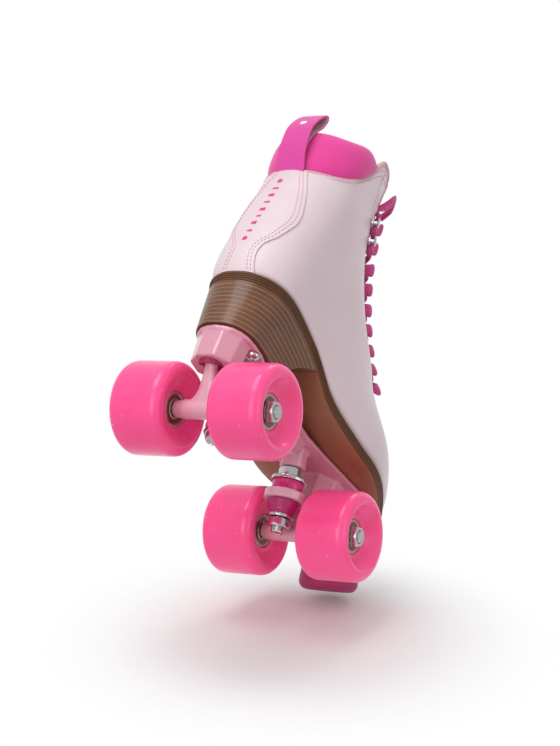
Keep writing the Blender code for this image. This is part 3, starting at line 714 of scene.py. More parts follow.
def row_of(level, count=34, gap=0.0, inset=0.0, lift=0.0):
    """Points of half a ring from front to back on the -X side."""
    r = ring(level)
    first = share_at(r, gap) if gap > 0.4 else 0.0
    middle, squeeze = (r[0] + r[2]) / 2, 1 - 2 * inset / (r[2] - r[0])
    points = []
    for k in range(count + 1):
        share = first + (1 - first) * (1 - math.cos(math.pi * k / count)) / 2
        y = r[0] + (r[2] - r[0]) * share
        half = max(half_width(r, share) - inset, 0)
        points.append(Vector((-half, middle + (y - middle) * squeeze, height(r, level, y) + lift)))
    if not gap > 0.4:
        points[0].x = 0
    points[-1].x = 0
    return points


print("skin at mid height:", [round(c, 1) for c in on_last(6, 0.5)])

# %% [markdown]
# ## The leather upper
# The upper is drawn up ring by ring from the sole. It stays whole over the toe, opens in a V at the
# bottom of the lacing and ends in the swooping top line. Its turned-in bottom edge is hidden by the
# sole. Solidify gives the leather its thickness, inwards, with the lining on the inner side.

# %% Upper
THROAT_STARTS, THROAT_FULL = 4.35, 5.0
rows = [[Vector((0, p.y, p.z)) for p in row_of(0)]]
for level in (k / 3 for k in range(TOP * 3 + 1)):
    opened = min(max((level - THROAT_STARTS) / (THROAT_FULL - THROAT_STARTS), 0), 1)
    rows.append(row_of(level, gap=THROAT * opened**0.6))
upper_bm = close_up(loft(rows), mirrored=True)
skins = [upper_leather, lining]
upper = finished("boot_upper_leather", upper_bm, skins, "upper_leather", ROOT, "boot_upper", sharp=60)
thickened(upper, SHELL, -1, inner_material=1)
smoothed(upper)
print("upper faces:", len(upper.data.polygons))

# %% Counter panel
SEAM = ((0, 12), (1.6, 10), (2.35, 12), (3.0, 17), (4.8, 22), (6.9, 20), (10.5, 12.5), (11, 12))
panel_rows = []
for k in range(34):
    level = 0.02 + k / 33 * (TOP - 0.08)
    edge = curved(SEAM, level)
    row = []
    for j in range(-9, 10):
        half = edge * math.sin(math.pi / 2 * abs(j) / 9)
        share = share_at(ring(level), half, near_back=True) if j else 1.0
        row.append(on_last(level, share, 0.45, side=-1 if j < 0 else 1, half=half))
    panel_rows.append(row)
counter_bm = close_up(loft(panel_rows))
counter = finished("counter_panel", counter_bm, upper_leather, "upper_leather", ROOT)
thickened(counter, 0.9, 0)
edge = counter.modifiers.new("soft edge", "BEVEL")
edge.width, edge.segments, edge.limit_method = 0.4 * MM, 2, "ANGLE"
print("counter panel faces:", len(counter.data.polygons))

# %% [markdown]
# ## Stitches
# Each stitch is a short bead of thread half sunk in the leather. One bead is a small stretched
# sphere, and it is set down again and again along a path, turned to follow it. Paths are drawn on
# the last, so a row of stitches stays on the leather however it bends.


# %% Stitch rows
def spaced(path, step):
    """Points every step along a path, each with its direction."""
    made, carry = [], step / 2
    for a, b in zip(path, path[1:]):
        length = (b - a).length
        while carry <= length and length > 0:
            made.append((a.lerp(b, carry / length), (b - a).normalized()))
            carry += step
        carry -= length
    return made


STITCH_STEP, STITCH_SIZE = 2.7, (0.34, 0.34, 1.0, 1)
ON_LEATHER, ON_PANEL = 0.12, 1.05


def rising(half_at, low, high, off, side, near_back=False):
    """A path up the boot, at the half width that half_at gives for each level."""
    path = []
    for k in range(60):
        level = low + (high - low) * k / 59
        half = half_at(level)
        path.append(on_last(level, share_at(ring(level), half, near_back), off, side, half))
    return path


def level_band(level, start, end, side):
    """A path round the boot at one level."""
    return [on_last(level, start + (end - start) * k / 50, ON_LEATHER, side) for k in range(51)]


paths = []
for side in (-1, 1):
    for inset in (2.2, 4.4):
        paths.append(rising(lambda level: curved(SEAM, level) - inset, 0.15, 10.8, ON_PANEL, side, True))
    back = share_at(ring(10.75), curved(SEAM, 10.75), near_back=True) - 0.01
    for level, start in ((10.76, 0.05), (10.58, 0.06)):
        paths.append(level_band(level, start, back, side))
    for inset, low, high in ((2.6, 4.9, 10.9), (12.5, 5.0, 10.7)):
        paths.append(rising(lambda level: THROAT + inset, low, high, ON_LEATHER, side))
bm = bmesh.new()
for path in paths:
    for point, direction in spaced(path, STITCH_STEP):
        place = facing(point, direction) @ Matrix.Diagonal(STITCH_SIZE)
        bmesh.ops.create_icosphere(bm, subdivisions=1, radius=1.0, matrix=place)
stitches = finished("upper_stitching", bm, thread_look, "upper_leather", ROOT)
print("stitch faces:", len(stitches.data.polygons))


# %% [markdown]
# ## Top line binding
# The raw top edge of the leather is wrapped in a thin folded strip. It is a soft tube that runs
# along the edge from one side of the lacing, round the back, to the other side.


# %% Binding
def strip(name, path, outline, look, slot, *nodes, normals, widths=None):
    """Sweeps an outline of (across, out) along a path and stores distances along and across."""
    rows, along, across = [], [], []
    travelled = 0.0
    for k, point in enumerate(path):
        ahead_point, behind = path[min(k + 1, len(path) - 1)], path[max(k - 1, 0)]
        direction = (ahead_point - behind).normalized()
        out = (normals[k] - direction * normals[k].dot(direction)).normalized()
        wide = direction.cross(out)
        stretch = widths[k] if widths else 1.0
        rows.append([point + wide * a * stretch + out * o for a, o in outline])
        travelled += (point - path[k - 1]).length if k else 0.0
        along.append([travelled] * len(outline))
        across.append([a for a, _ in outline])
    bm = seal(loft(rows, closed=True, numbers={"along": along, "across": across}))
    return finished(name, bm, look, slot, ROOT, *nodes, sharp=50)


def squarer(value, power):
    """A sine or cosine pushed towards 1 or -1 by a power under 1."""
    return math.copysign(abs(value) ** power, value)


def oval(wide, thick, count=14, power=1.0):
    """A rounded outline; a power under 1 makes it squarer."""
    turns = [math.tau * k / count for k in range(count)]
    return [(squarer(math.cos(a), power) * wide, squarer(math.sin(a), power) * thick) for a in turns]


edge_row = row_of(TOP, 60, gap=THROAT + 0.2, inset=SHELL / 2, lift=0.2)
edge_path = edge_row + [Vector((-p.x, p.y, p.z)) for p in reversed(edge_row[:-1])]
front_edge = []
for k in range(30):
    level = 5.1 + (TOP - 5.1) * k / 29
    front_edge.append(on_last(level, share_at(ring(level), THROAT), -SHELL / 2, -1, THROAT - 0.3))
front_edge.pop()
path = front_edge + edge_path + [Vector((-p.x, p.y, p.z)) for p in reversed(front_edge)]
on_front, on_top = [Vector((0, -0.8, 0.3))] * len(front_edge), [Vector((0, -0.6, 0.8))] * len(edge_path)
outward = on_front + on_top + on_front
binding = strip("topline_binding", path, oval(1.9, 1.9), binding_leather, "upper_leather", normals=outward)
print("binding length:", round(sum((b - a).length for a, b in zip(path, path[1:])) / 10, 1), "cm")

# %% [markdown]
# ## Sole, welt and heel
# The outsole follows the bottom of the last. Its edge is cut as fine steps, because real welts show
# their layers, and the number called layer goes from 0 at the floor side to 1 at the boot. The heel
# is a loft whose rows are flat at the bottom and bend into the sole's line at the top.

# %% Outsole
GAP = 0.3
SOLE_THICK = 5.7
steps = [(9.0, -SOLE_THICK - GAP, 0), (1.0, -SOLE_THICK - GAP, 0), (0.35, -SOLE_THICK + 0.1, 0)]
for k in range(4):
    base, inset, share = -5.3 + 1.25 * k, 0.2 - 0.3 * k, (k + 0.02) / 4
    for notch, rise, climb in ((0, 0, 0), (0, 0.95, 0.2), (0.22, 1.1, 0.235)):
        steps.append((inset + notch, base + rise, share + climb))
steps += [(-0.5, -0.45, 1.0), (0.8, -GAP, 1.0)]
rows = with_middle([row_of(0, 46, inset=inset, lift=lift) for inset, lift, _ in steps])
values = [[value] * 47 for _, _, value in [steps[0], *steps, steps[-1]]]
skins = [0, 0] + [1] * (len(rows) - 3)
sole_bm = close_up(loft(rows, numbers={"layer": values}, skins=skins), mirrored=True)
looks = [sole_face, sole_edge]
outsole = finished("outsole_and_welt", sole_bm, looks, "sole_leather", ROOT, "outsole", sharp=50)
print("outsole faces:", len(outsole.data.polygons))

# %% Stacked heel
BACK, TOP_FRONT, LOW_FRONT = 92.5, 14.0, 37.0
HEEL_LOW, LOW_HALF, LAYERS = 76.0, 21.5, 12
low_ring = ring(0)
under = row_of(0, 60, inset=0.2, lift=-GAP - SOLE_THICK)


def under_sole(y):
    """Height of the outsole's under side at y."""
    behind, forward = next(p for p in zip(under, under[1:]) if p[1].y >= y - 0.3)
    return behind.z + (forward.z - behind.z) / (forward.y - behind.y) * (y - behind.y)


rows, values = [], []
for level in range(LAYERS * 3 + 1):
    t = level / (LAYERS * 3)
    groove = 0.16 if level % 3 == 0 and 0 < level < LAYERS * 3 else 0.0
    row = []
    for k in range(41):
        share = (1 - math.cos(math.pi * k / 40)) / 2
        top_y = TOP_FRONT + (BACK - TOP_FRONT) * share
        low_y = LOW_FRONT + (BACK - 0.5 - LOW_FRONT) * share
        top_share = (top_y - low_ring[0]) / (BACK - low_ring[0])
        top_half = half_width(low_ring, min(top_share, 1)) - 0.3
        low_half = LOW_HALF * swell((BACK - low_y) / 24)
        half = low_half + (top_half - low_half) * t - groove
        y = low_y + (top_y - low_y) * t ** (1 + 1.2 * (1 - share)) - groove * share
        z = HEEL_LOW + (under_sole(top_y) - 0.35 - HEEL_LOW) * t
        row.append(Vector((-max(half, 0) if k < 40 else 0, y, z)))
    rows.append([Vector((0, row[0].y, row[0].z))] + row)
    values.append([t] * 42)
rows, values = with_middle(rows), [values[0], *values, values[-1]]
heel_bm = close_up(loft(rows, numbers={"layer": values}), mirrored=True)
heel = finished("stacked_heel", heel_bm, heel_edge, "heel_leather", ROOT, "heel_stack", sharp=50)
print("heel faces:", len(heel.data.polygons))

# %% [markdown]
# ## Tongue, collar and insole
# The tongue and the collar are foam under a cover. A pad is never a plain slab: it is full in the
# middle and pulled thin at its seams. So each is lofted from rounded sections whose thickness
# follows a crown, and then smoothed. The collar is a C that sits on the top line behind the peak.

# %% Tongue
TONGUE_STARTS, TONGUE_HALF = 3.6, 12.6
loops = []
for k in range(26):
    level = TONGUE_STARTS + (TOP - TONGUE_STARTS) * k / 25
    r = ring(level)
    inward = Vector((0, r[2] - r[0], height(r, level, 10) - r[1])).normalized()
    if level > TOP - 0.5:
        inward = inward.lerp(Vector((0, 1, 0)), (level - TOP + 0.5) * 2).normalized()
    front = Vector((0, r[0], r[1]))
    fullness = swell((k + 0.6) / 5) * swell((25.6 - k) / 4)
    outer, inner = [], []
    for j in range(-8, 9):
        x = TONGUE_HALF * j / 8
        spot = front + inward * (share_at(r, abs(x) + SHELL + 2.2) * (r[2] - r[0]) + 3.6)
        crown = fullness * swell(1 - abs(j) / 8.4)
        outer.append(Vector((x, spot.y, spot.z)) - inward * 0.5 * crown)
        inner.append(Vector((x * 0.96, spot.y, spot.z)) + inward * (0.9 + 2.7 * crown))
    loops.append(outer + inner[::-1])
tongue_bm = seal(loft(loops, closed=True))
tongue = finished("padded_tongue", tongue_bm, upper_leather, "tongue_leather", ROOT, "tongue", sharp=80)
smoothed(tongue)
print("tongue faces:", len(tongue.data.polygons))

# %% Collar
RISE = ((27, 2), (36, 10), (48, 25), (60, 32), (82, 35.5))
COLLAR_FRONT, COLLAR_MIDDLE, COLLAR_HALF = 27.5, 3.9, 6.1
outline = [p for p in row_of(TOP, 60) if p.y > COLLAR_FRONT][::-1]
outline = [Vector((-p.x, p.y, p.z)) for p in outline[:0:-1]] + outline
loops = []
for k, point in enumerate(outline):
    after, before = outline[min(k + 1, len(outline) - 1)], outline[max(k - 1, 0)]
    outward = Vector((before.y - after.y, after.x - before.x, 0)).normalized()
    if outward.dot(Vector((point.x, point.y - 40, 0))) < 0:
        outward = -outward
    tall = curved(RISE, point.y)
    ends = min(k, len(outline) - 1 - k)
    full = swell((ends + 0.8) / 5)
    loop = []
    for turn in range(24):
        angle = math.tau * turn / 24
        c, s = math.cos(angle), math.sin(angle)
        pinch = 0.80 + 0.20 * swell((1 + s) * 0.7)
        wide = squarer(c, 0.85) * COLLAR_HALF * pinch * full
        rise = GAP + tall / 2 * (1 + squarer(s, 0.8) * (0.4 + 0.6 * full))
        loop.append(point + outward * (wide - COLLAR_MIDDLE) + Vector((0, 0, rise)))
    loops.append(loop)
collar_bm = seal(loft(loops, closed=True))
collar = finished("padded_collar", collar_bm, collar_knit, "collar_fabric", ROOT, "collar_pad", sharp=80)
smoothed(collar)
print("collar faces:", len(collar.data.polygons))

# %% Insole
edges = ((7.0, 0), (6.9, 2.2), (7.8, 2.9), (11, 3.0))
rows = with_middle([row_of(0, 40, inset=inset, lift=SHELL + GAP + rise) for inset, rise in edges])
insole_bm = close_up(loft(rows), mirrored=True)
insole = finished("insole_board", insole_bm, insole_knit, "insole_fabric", ROOT, "insole")
print("insole faces:", len(insole.data.polygons))

# %% [markdown]
# ## Pull loop
# A webbing strap is folded into a loop and sewn down under the collar, so that a finger can pull
# the boot on. It is a flat outline swept along a folded path. Its outer face is bright, its inner
# face is pale, and a small plain dot is printed near the top.


# %% Smooth paths and the pull loop
def smooth_path(points, per_span):
    """Points on a Catmull-Rom curve through the given points."""
    ends = [2 * points[0] - points[1]] + points + [2 * points[-1] - points[-2]]
    path = []
    for a, b, c, d in zip(ends, ends[1:], ends[2:], ends[3:]):
        for k in range(per_span):
            t = k / per_span
            turn = (2 * a - 5 * b + 4 * c - d) * t**2 + (3 * b - a - 3 * c + d) * t**3
            path.append(0.5 * (2 * b + (c - a) * t + turn))
    return path + [points[-1]]


def plain_dot(bm, radius, thick, place, segments):
    sizes = {"radius1": radius, "radius2": radius - 0.1, "depth": thick}
    bmesh.ops.create_cone(bm, cap_ends=True, segments=segments, matrix=place, **sizes)


FOLD = ((81.6, 206.6), (84.9, 213), (86.9, 217), (88.9, 223), (89.8, 230), (89.5, 238), (86.6, 246))
FOLD += ((81.8, 254), (78.2, 257.4), (76.4, 255), (78.6, 247), (83.2, 238.5), (85.7, 230), (86.3, 223))
path = smooth_path([Vector((0, y, z)) for y, z in FOLD], 5)
normals = []
for k in range(len(path)):
    along = path[min(k + 1, len(path) - 1)] - path[max(k - 1, 0)]
    normals.append(Vector((0, along.z, -along.y)).normalized())
spreads = [1.21 - 0.21 * min(k / 60, 1) for k in range(len(path))]
band, looks = oval(8.5, 0.75, 20, 0.35), [loop_webbing, pale_webbing]
loop = strip(
    "pull_loop_webbing", path, band, looks, "loop_webbing", "pull_loop", normals=normals, widths=spreads
)
middle = list(zip(path, normals))
for face in loop.data.polygons:
    centre = face.center / MM
    centre.x = 0
    near, out = min(middle, key=lambda pair: (pair[0] - centre).length)
    if (centre - near).dot(out) < -0.3:
        face.material_index = 1
dot_bm = bmesh.new()
spot = min(middle, key=lambda pair: abs(pair[0].z - 243) + (0 if pair[1].y > 0 else 99))
plain_dot(dot_bm, 2.3, 0.12, facing(spot[0] + spot[1] * 0.8, spot[1]), 40)
dot = finished("loop_dot", dot_bm, white_print, "loop_webbing", ROOT)
print("loop faces:", len(loop.data.polygons))

# %% Plain marks on the counter
MARKS, TOP_MARK, MARK_STEP, BESIDE_SEAM, MARK_THICK = 9, 196, 7.1, 2.2, 0.16
marks_bm = bmesh.new()
for k in range(MARKS):
    z = TOP_MARK - MARK_STEP * k
    level = next(v / 20 for v in range(TOP * 20 + 1) if height(ring(v / 20), v / 20, 84) >= z)
    share = share_at(ring(level), BESIDE_SEAM, near_back=True)
    point, base = (on_last(level, share, off, 1, BESIDE_SEAM) for off in (1.0, 0.0))
    out = (point - base).normalized()
    if k in (0, MARKS - 1):
        plain_dot(marks_bm, 1.9, MARK_THICK, facing(point, out), 28)
    else:
        grown = bmesh.ops.create_cube(marks_bm, size=1.0)["verts"]
        bmesh.ops.scale(marks_bm, vec=(4.2, MARK_THICK, 1.5 if k % 2 else 2.6), verts=grown)
        turn = Vector(out).to_track_quat("Y", "Z").to_matrix().to_4x4()
        bmesh.ops.transform(marks_bm, matrix=Matrix.Translation(point) @ turn, verts=grown)
marks = finished("counter_marks", marks_bm, print_look, "upper_leather", ROOT)
print("marks:", len(marks.data.polygons))

# %% [markdown]
# ## Lacing
# Flat laces dive into chrome eyelets, rise over the edge of the leather and cross over the tongue.
# Each strand is a flat outline swept along a path on the last, and it narrows where an eyelet or a
# hook squeezes it. One strand passes over at a crossing and the other passes under.


# %% Eyelets
def beside_throat(level, inset, off, side):
    return on_last(level, share_at(ring(level), THROAT + inset), off, side, THROAT + inset)


ROWS = (5.15, 5.65, 6.12, 6.6, 7.08, 7.58, 8.08, 8.72, 9.4, 10.05)
HOOKS = (8.72, 9.4)
rolled_rim = [(1.9, -0.6), (3.5, -0.1), (3.5, 0.25), (2.6, 0.85), (1.8, 0.5)]
rolled_rim = eased(rolled_rim, 0.3, closed=True, steps=2)
eyelet_bm = bmesh.new()
for level in ROWS:
    for side in (-1, 1):
        if level in HOOKS:
            continue
        base, tip = beside_throat(level, 5.0, 0.0, side), beside_throat(level, 5.0, 1.0, side)
        lathe(rolled_rim, facing(base, tip - base), 28, closed=True, bm=eyelet_bm)
eyelets = finished("lace_eyelets", eyelet_bm, chrome, "chrome", ROOT)
print("eyelet faces:", len(eyelets.data.polygons))

# %% Laces
LACE_TAIL = ((0.12, 3.4, 4.6, 1.2), (0.30, 1.6, 8.2, 1.8), (0.22, -1.5, 9.0, 1.9), (0.02, -4.0, 6.5, 1.2))


def in_between(values):
    """Four even steps between each value and the next."""
    steps = [a + (b - a) * (j / 5) for a, b in zip(values, values[1:]) for j in range(5)]
    return steps + [values[-1]]


for strand, first_side in (("lace_left", 1), ("lace_right", -1)):
    points, normals, widths = [], [], []

    def lay(level, inset, off, side, width, in_middle=False):
        base = beside_throat(level, inset, 0.0, side)
        out = (beside_throat(level, inset, 1.0, side) - base).normalized()
        if in_middle:
            out = Vector((0, out.y, out.z)).normalized()
            base.x = 0
        points.append(base + out * off)
        normals.append(out)
        widths.append(width)

    for k, level in enumerate(ROWS):
        side = first_side * (1 if k % 2 else -1)
        hook = level in HOOKS
        lay(level, 9.0 if hook else 4.6, 3.0 if hook else 0.3, side, 0.5)
        if k == len(ROWS) - 1:
            break
        step = ROWS[k + 1] - level
        over = 5.0 if (k % 2) == (first_side > 0) else 8.2
        lay(level + step * 0.06, 3.4, 4.2, side, 1.1)
        lay(level + step * 0.20, 0.8, 6.4, side, 1.45)
        lay(level + step * 0.48, 0.0, over, side, 1.0, in_middle=True)
        lay(level + step * 0.76, 0.6, 2.9, -side, 0.75)
        lay(level + step * 0.90, 3.0, 1.9, -side, 0.6)
    for higher, inset, off, width in LACE_TAIL:
        lay(ROWS[-1] + higher, inset, off, side, width)
    normals, widths = in_between(normals), in_between(widths)
    path, band = smooth_path(points, 5), oval(3.1, 1.5, 14, 0.9)
    name, slot = strand + "_flat", "lace_cord"
    lace = strip(name, path, band, lace_weave, slot, strand, normals=normals, widths=widths)
    print(lace.name, "faces:", len(lace.data.polygons))

# %% [markdown]
# ## Wheels and bearings
# A skate wheel is one casting with a rounded tread, a fine ring on each face and a bowl that runs
# down to the bearing seat. Its outer bowl is deeper than its inner one. It is one closed outline
# spun about the axle. The bearings show a bright race on each side of a sunken shield, which is
# coloured dark: painted shade in the gap between the races.

# %% Wheels
WHEEL_R, HALF, LIP = 29.0, 18.5, 6.0
AXLE_Z = WHEEL_R * math.cos(math.pi / 28)
TRACK, WHEELBASE = 69.0, 133.4
INNER_FACE, OUTER_FACE = 12.7, 10.0


def wheel_outline():
    points = []
    for way, face in ((1, OUTER_FACE), (-1, INNER_FACE)):
        part = [(WHEEL_R, HALF - LIP - 4)]
        for turn in (math.radians(a) for a in range(0, 91, 9)):
            part.append((WHEEL_R - LIP + LIP * math.cos(turn), HALF - LIP + LIP * math.sin(turn)))
        fine_ring = ((22.4, 0), (22.0, 0.15), (21.75, 0.55), (21.4, 0.7), (20.6, 0.95))
        part += [(r, HALF - sunk) for r, sunk in fine_ring]
        bowl_top = HALF - 0.95
        drop = bowl_top - face - 0.75
        part += [(20.6 - 6.6 * t, bowl_top - drop * t**0.82) for t in (0.15, 0.3, 0.45, 0.6, 0.75, 0.9, 1.0)]
        seat = ((13.2, 0.6), (12.3, 0.55), (11.6, 0.45), (11.3, 0.2), (11.3, -7.3), (9.0, -7.3))
        part += [(r, face + h) for r, h in seat]
        points += [(r, h * way) for r, h in part[::way]]
    return points


RACE = [(4.3, 0), (5.9, 0), (6.1, 0.45), (9.0, 0.45), (9.25, 0), (11, 0)]
RACE += [(r, 7 - h) for r, h in reversed(RACE)]
for end, where in ENDS:
    for side, hand in SIDES:
        place = facing((side * TRACK / 2, end * WHEELBASE / 2, AXLE_Z), (side, 0, 0))
        body, node = f"{where}_{hand}_wheel", f"wheel_{where}_{hand}"
        bm = lathe(wheel_outline(), place, 112, closed=True)
        wheel = finished(node + "_cast", bm, wheel_urethane, "wheel_urethane", body, node, sharp=35)
        for low, level in ((OUTER_FACE - 7, "outer"), (-INNER_FACE, "inner")):
            outline = eased([(r, low + h) for r, h in RACE], 0.18, closed=True, steps=2)
            bm = lathe(outline, place, 64, closed=True)
            node, looks = f"bearing_{where}_{hand}_{level}", [bearing_race, shield_in_painted_shade]
            bearing = finished(node + "_races", bm, looks, "bearing_steel", body, node)
            axle_line = Vector((0, end * WHEELBASE / 2, AXLE_Z)) * MM
            # Faces in the gap between the races take the dark shield finish: painted shade.
            for face in bearing.data.polygons:
                away = Vector((0, face.center.y, face.center.z)) - axle_line
                face.material_index = 1 if 6.2 < away.length / MM < 8.9 else 0
print("wheel faces:", len(wheel.data.polygons))


# %% [markdown]
# ## Nuts, axles and screws
# A nut is a hexagon whose corners are turned off at both ends, with a round bore. It is lofted
# through closed rows: round, then six-sided, then round again. Threads are rings of fine ridges,
# which at this size look the same as a true helix and keep the mesh light.


# %% Nuts
def around(radius, level, sides=6, count=48):
    """A closed row: a polygon of that half width across its flats, or a circle if sides is 0."""
    row = []
    for k in range(count):
        angle, reach = math.tau * k / count, radius
        if sides:
            reach /= math.cos((angle + math.pi / sides) % (math.tau / sides) - math.pi / sides)
        row.append(Vector((reach * math.cos(angle), reach * math.sin(angle), level)))
    return row


def nut(node, across, bore, low, high, place, body):
    flat, corner = across / 2, across / math.sqrt(3)

    def turned_off(level):
        """A hexagon whose corners are turned off by a circle."""
        pairs = zip(around((flat + corner) / 2 * 0.965, level, 0), around(flat, level))
        return [min(pair, key=lambda point: point.xy.length) for pair in pairs]

    rows = [around(bore, low + 0.3, 0), around(bore, high - 0.4, 0), around(bore + 0.4, high, 0)]
    rows += [around(flat * 0.93, high, 0), turned_off(high - 0.45), around(flat, high - 0.95)]
    rows += [around(flat, low + 0.95), turned_off(low + 0.45), around(flat * 0.93, low, 0)]
    rows += [around(bore + 0.3, low, 0), around(bore, low + 0.3, 0)]
    bm = loft(rows, closed=True)
    bmesh.ops.remove_doubles(bm, verts=bm.verts, dist=0.002)
    bmesh.ops.recalc_face_normals(bm, faces=bm.faces)
    bmesh.ops.transform(bm, matrix=place, verts=bm.verts)
    return finished(node + "_hex", bm, chrome, "chrome", body, node, sharp=25)


def threaded(radius, low, high, pitch=0.9):
    """Outline of a threaded end, from its shoulder to its chamfered tip."""
    points, level = [], low
    while level < high - 1.2:
        points += [(radius, level), (radius, level + pitch * 0.3), (radius - 0.4, level + pitch * 0.6)]
        level += pitch
    tip = ((0, 0.8), (0.7, 0), (1.3, 0), (1.6, 0.35), (radius, 0.35))
    return points + [(radius - inwards, high - sunk) for inwards, sunk in tip]


AXLE_R, AXLE_END = 3.8, 50.4
for end, where in ENDS:
    truck = f"{where}_truck"
    across = facing((0, end * WHEELBASE / 2, AXLE_Z), (1, 0, 0))
    half_axle = [(AXLE_R, 0), (AXLE_R, 30.0)] + threaded(AXLE_R, 44.5, AXLE_END)
    bm = lathe([(r, -h) for r, h in reversed(half_axle)] + half_axle[1:], across, 48)
    axle = finished(f"{where}_axle_bar", bm, chrome, "chrome", truck, f"{where}_axle")
    for side, hand in SIDES:
        place = facing((side * TRACK / 2, end * WHEELBASE / 2, AXLE_Z), (side, 0, 0))
        node = f"axle_nut_{where}_{hand}"
        nut(node, 12.6, 4.1, OUTER_FACE + 0.3, OUTER_FACE + 4.8, place, truck)
print("axle faces:", len(axle.data.polygons))

# %% Plate screws
SPOTS = {"rear": (15.0, 64.0), "front": (18.5, -98.0)}
SEAT = 72.4
dome = [(2.5, 3.3), (2.5, 0), (4.6, 0), (4.8, -0.3), (4.8, -0.8)]
dome += [(4.6 * math.cos(a), -0.9 - 2.6 * math.sin(a)) for a in (0.25, 0.5, 0.75, 1.0)]
socket = [(1.75, -3.35), (1.6, -3.2), (1.55, -1.7)]
for where, (x, y) in SPOTS.items():
    for hand, side in (("left", 1), ("right", -1)):
        rows = [around(r, h, 0) for r, h in dome] + [around(r, h) for r, h in socket]
        bm = seal(loft(rows, closed=True))
        bmesh.ops.translate(bm, vec=(x * side, y, SEAT), verts=bm.verts)
        node = f"plate_screw_{where}_{hand}"
        finished(node + "_dome", bm, chrome, "chrome", ROOT, node, sharp=35)
print("screws:", 2 * len(SPOTS))

# %% [markdown]
# ## The kingpin stack
# Between the plate and the truck a bolt squeezes two urethane cushions, and they let the truck lean.
# Each piece is an outline spun about the kingpin. When the truck steers, one end of a cushion
# stays with the plate and the other goes with the truck. Here the cushions sit on no body, baked in place.


# %% Kingpins, washers and cushions
def kingpin_frame(end):
    """Origin at the jam nut's top face, +Z down the kingpin."""
    return facing((0, 40.4 * end, 60.6), (0, 10 * end, -43))


BORE, PIN_R = 4.8, 4.5
CUP = [(BORE, 7.1), (10.6, 7.1), (11.5, 7.4), (11.5, 9.6), (10.6, 9.6), (10.4, 8.2), (BORE, 8.2)]
WASHER = [(BORE, 32.5), (8.4, 32.5), (8.6, 33.4), (8.4, 34.4), (BORE, 34.4)]
BARREL = [(BORE, 8.5), (9.8, 8.5), (10.1, 10.5), (10.25, 13), (10.1, 15.0), (9.9, 16.8), (BORE, 16.8)]
CONE = [(BORE, 23.2), (10.7, 23.2), (10.9, 24.4), (10.2, 25.6), (10.25, 26.4), (9.5, 27.3), (9.5, 28.0)]
CONE += [(8.7, 29.0), (8.6, 29.8), (7.6, 31.4), (7.3, 32.2), (BORE, 32.2)]


def spun(node, suffix, outline, ease, look, slot, body, place):
    bm = lathe(eased(outline, ease, closed=True, steps=3), place, 64, closed=True)
    return finished(f"{node}_{suffix}", bm, look, slot, body, node)


for end, where in ENDS:
    pin = kingpin_frame(end)
    truck = f"{where}_truck"
    bolt = [(0, -8.6), (PIN_R, -8.6), (PIN_R, 33)] + threaded(PIN_R, 33.6, 44.2, 1.0)
    finished(f"{where}_kingpin_bolt", lathe(bolt, pin, 48), chrome, "chrome", ROOT, f"{where}_kingpin")
    nut(f"{where}_jam_nut", 14.0, BORE, 0.3, 6.8, pin, ROOT)
    nut(f"{where}_lock_nut", 13.0, BORE, 34.7, 40.4, pin, ROOT)

    for node, outline, ease in ((f"{where}_cup_washer", CUP, 0.3), (f"{where}_lower_washer", WASHER, 0.4)):
        spun(node, "pressed", outline, ease, chrome, "chrome", ROOT, pin)
    node = f"{where}_upper_cushion"
    cushion = spun(node, "barrel", BARREL, 0.6, upper_urethane, "upper_cushion", None, pin)
    pin @ Vector((0, 0, 8.8)) * MM
    pin @ Vector((0, 0, 16.5)) * MM
    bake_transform(cushion)
    node = f"{where}_lower_cushion"
    cushion = spun(node, "cone", CONE, 0.35, lower_urethane, "lower_cushion", None, pin)
    pin @ Vector((0, 0, 23.5)) * MM
    pin @ Vector((0, 0, 32.0)) * MM
    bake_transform(cushion)
print("kingpin stacks: 2")

# %% [markdown]
# ## Toe stop
# The stop is a rubber puck on a threaded stem, locked by a nut under the plate. Its outer edge is
# worn round. It is spun about the stem's own slanted axis.

# %% Toe stop
slant = math.radians(28)
stem = facing((0, -130.6, 24.4), (0, math.sin(slant), math.cos(slant)))
puck = [(5.3, 26.0), (13.2, 26.0, 0.8), (17.4, 23.0, 2.0), (19.6, 8.0, 4.0), (19.8, 4.4, 2.0)]
puck += [(17.6, 0.9, 2.5), (14.4, 0.0, 1.0), (0, 0)]
bm = lathe([(0, 16.0), (5.3, 16.0)] + eased(puck, 0.5, steps=6), stem, 96)
finished("toe_stop_puck", bm, stop_rubber, "stop_rubber", ROOT, "toe_stop", sharp=40)
ridges = []
for k in range(13):
    ridges += [(5.0, 26.5 + k), (5.0, 26.9 + k), (4.6, 27.1 + k), (4.6, 27.3 + k)]
bm = lathe([(0, 16.3), (5.0, 16.3), (5.0, 26)] + ridges + [(5.0, 48.0), (4.6, 48.4), (0, 48.4)], stem, 48)
finished("toe_stop_stem_bar", bm, chrome, "chrome", ROOT, "toe_stop_stem")
nut("toe_stop_nut", 16.0, 5.3, 31.7, 38.2, stem, ROOT)
print("toe stop done")

# %% [markdown]
# ## Castings
# The plate and the two trucks are cast metal. Their shapes are right in the frame but every edge is
# knife sharp. A voxel remesh joins each into one even skin, and a few rounds of smoothing then
# soften edges and corners by under a millimetre, as sand and paint do on a real casting.


# %% Cast parts
BLOCK_LOW = 53.6


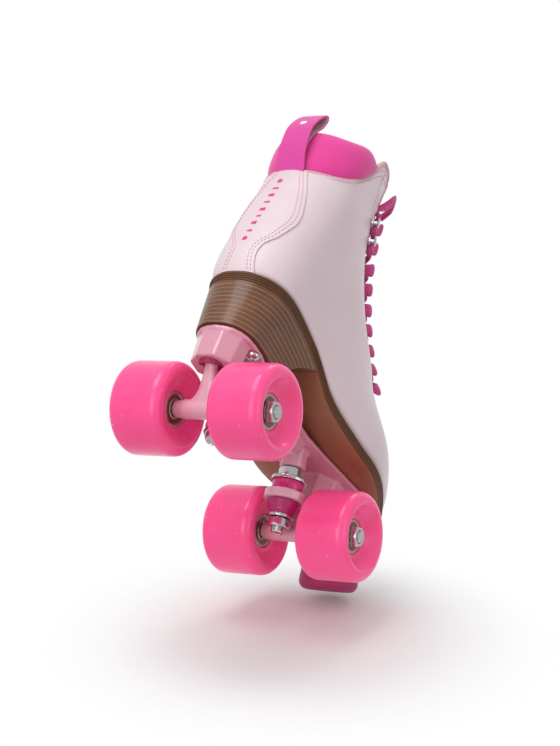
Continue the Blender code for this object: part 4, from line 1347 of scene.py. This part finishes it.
def boss(centre_y, top, low):
    """A hollow eight-sided block of two half sizes, which closes the wall round a pivot cup."""
    rows = []
    for z, (x, y) in ((74.0, top), (BLOCK_LOW, low)):
        rows.append([Vector((p.x * x, p.y * y + centre_y, z)) for p in around(1.0, 0, 8)])
    for z in (BLOCK_LOW, 66.0):
        rows.append([p + Vector((0, centre_y * 1.03, 0)) for p in around(7.0, z, 0)])
    bm = seal(loft(rows, closed=True))
    bmesh.ops.scale(bm, vec=(MM, MM, MM), verts=bm.verts)
    return as_mesh("boss", bm)


def cast(name, node, look, slot, body, voxel, *added):
    """A softened copy of a frame part, joined with any added solids."""
    copy = shown(name, frame["nodes"][node].data.copy())
    bm = bmesh.new()
    bm.from_mesh(copy.data)
    for extra in added:
        bm.from_mesh(extra)
    bmesh.ops.remove_doubles(bm, verts=bm.verts, dist=0.000002)
    bm.to_mesh(copy.data)
    bm.free()
    skin = copy.modifiers.new("even skin", "REMESH")
    skin.mode, skin.voxel_size = "VOXEL", voxel * MM
    bpy.context.view_layer.update()
    even = bpy.data.meshes.new_from_object(copy.evaluated_get(bpy.context.evaluated_depsgraph_get()))
    bpy.data.objects.remove(copy)
    bm = bmesh.new()
    bm.from_mesh(even)
    axes = {"use_axis_x": True, "use_axis_y": True, "use_axis_z": True}
    for _ in range(4):
        bmesh.ops.smooth_vert(bm, verts=bm.verts, factor=0.5, **axes)
    bmesh.ops.scale(bm, vec=(1 / MM,) * 3, verts=bm.verts)
    made = finished(name, bm, look, slot, body, node, sharp=180)
    print(name, "faces:", len(made.data.polygons))


bosses = boss(75.7, (15.9, 14.0), (14.3, 13.1)), boss(-76.0, (16.6, 14.4), (13.3, 12.6))
cast("plate_casting", "plate", plate_paint, "plate_paint", ROOT, 0.75, *bosses)
for _, where in ENDS:
    cast(f"{where}_truck_casting", f"{where}_hanger", truck_paint, "truck_paint", f"{where}_truck", 0.6)

# %% [markdown]
# ## Parts that stay as they are
# The pivot cups and the speed hooks are already right in the frame. They only need their finish.

# %% Carried-over parts
for name, part in frame["nodes"].items():
    if "pivot_cup" in name:
        part.data.materials.clear()
        part.data.materials.append(pivot_rubber.material)
    if "speed_hook" in name:
        part.data.materials.clear()
        part.data.materials.append(chrome.material)
        part.data.shade_smooth()
        part.data.set_sharp_from_angle(angle=math.radians(40))
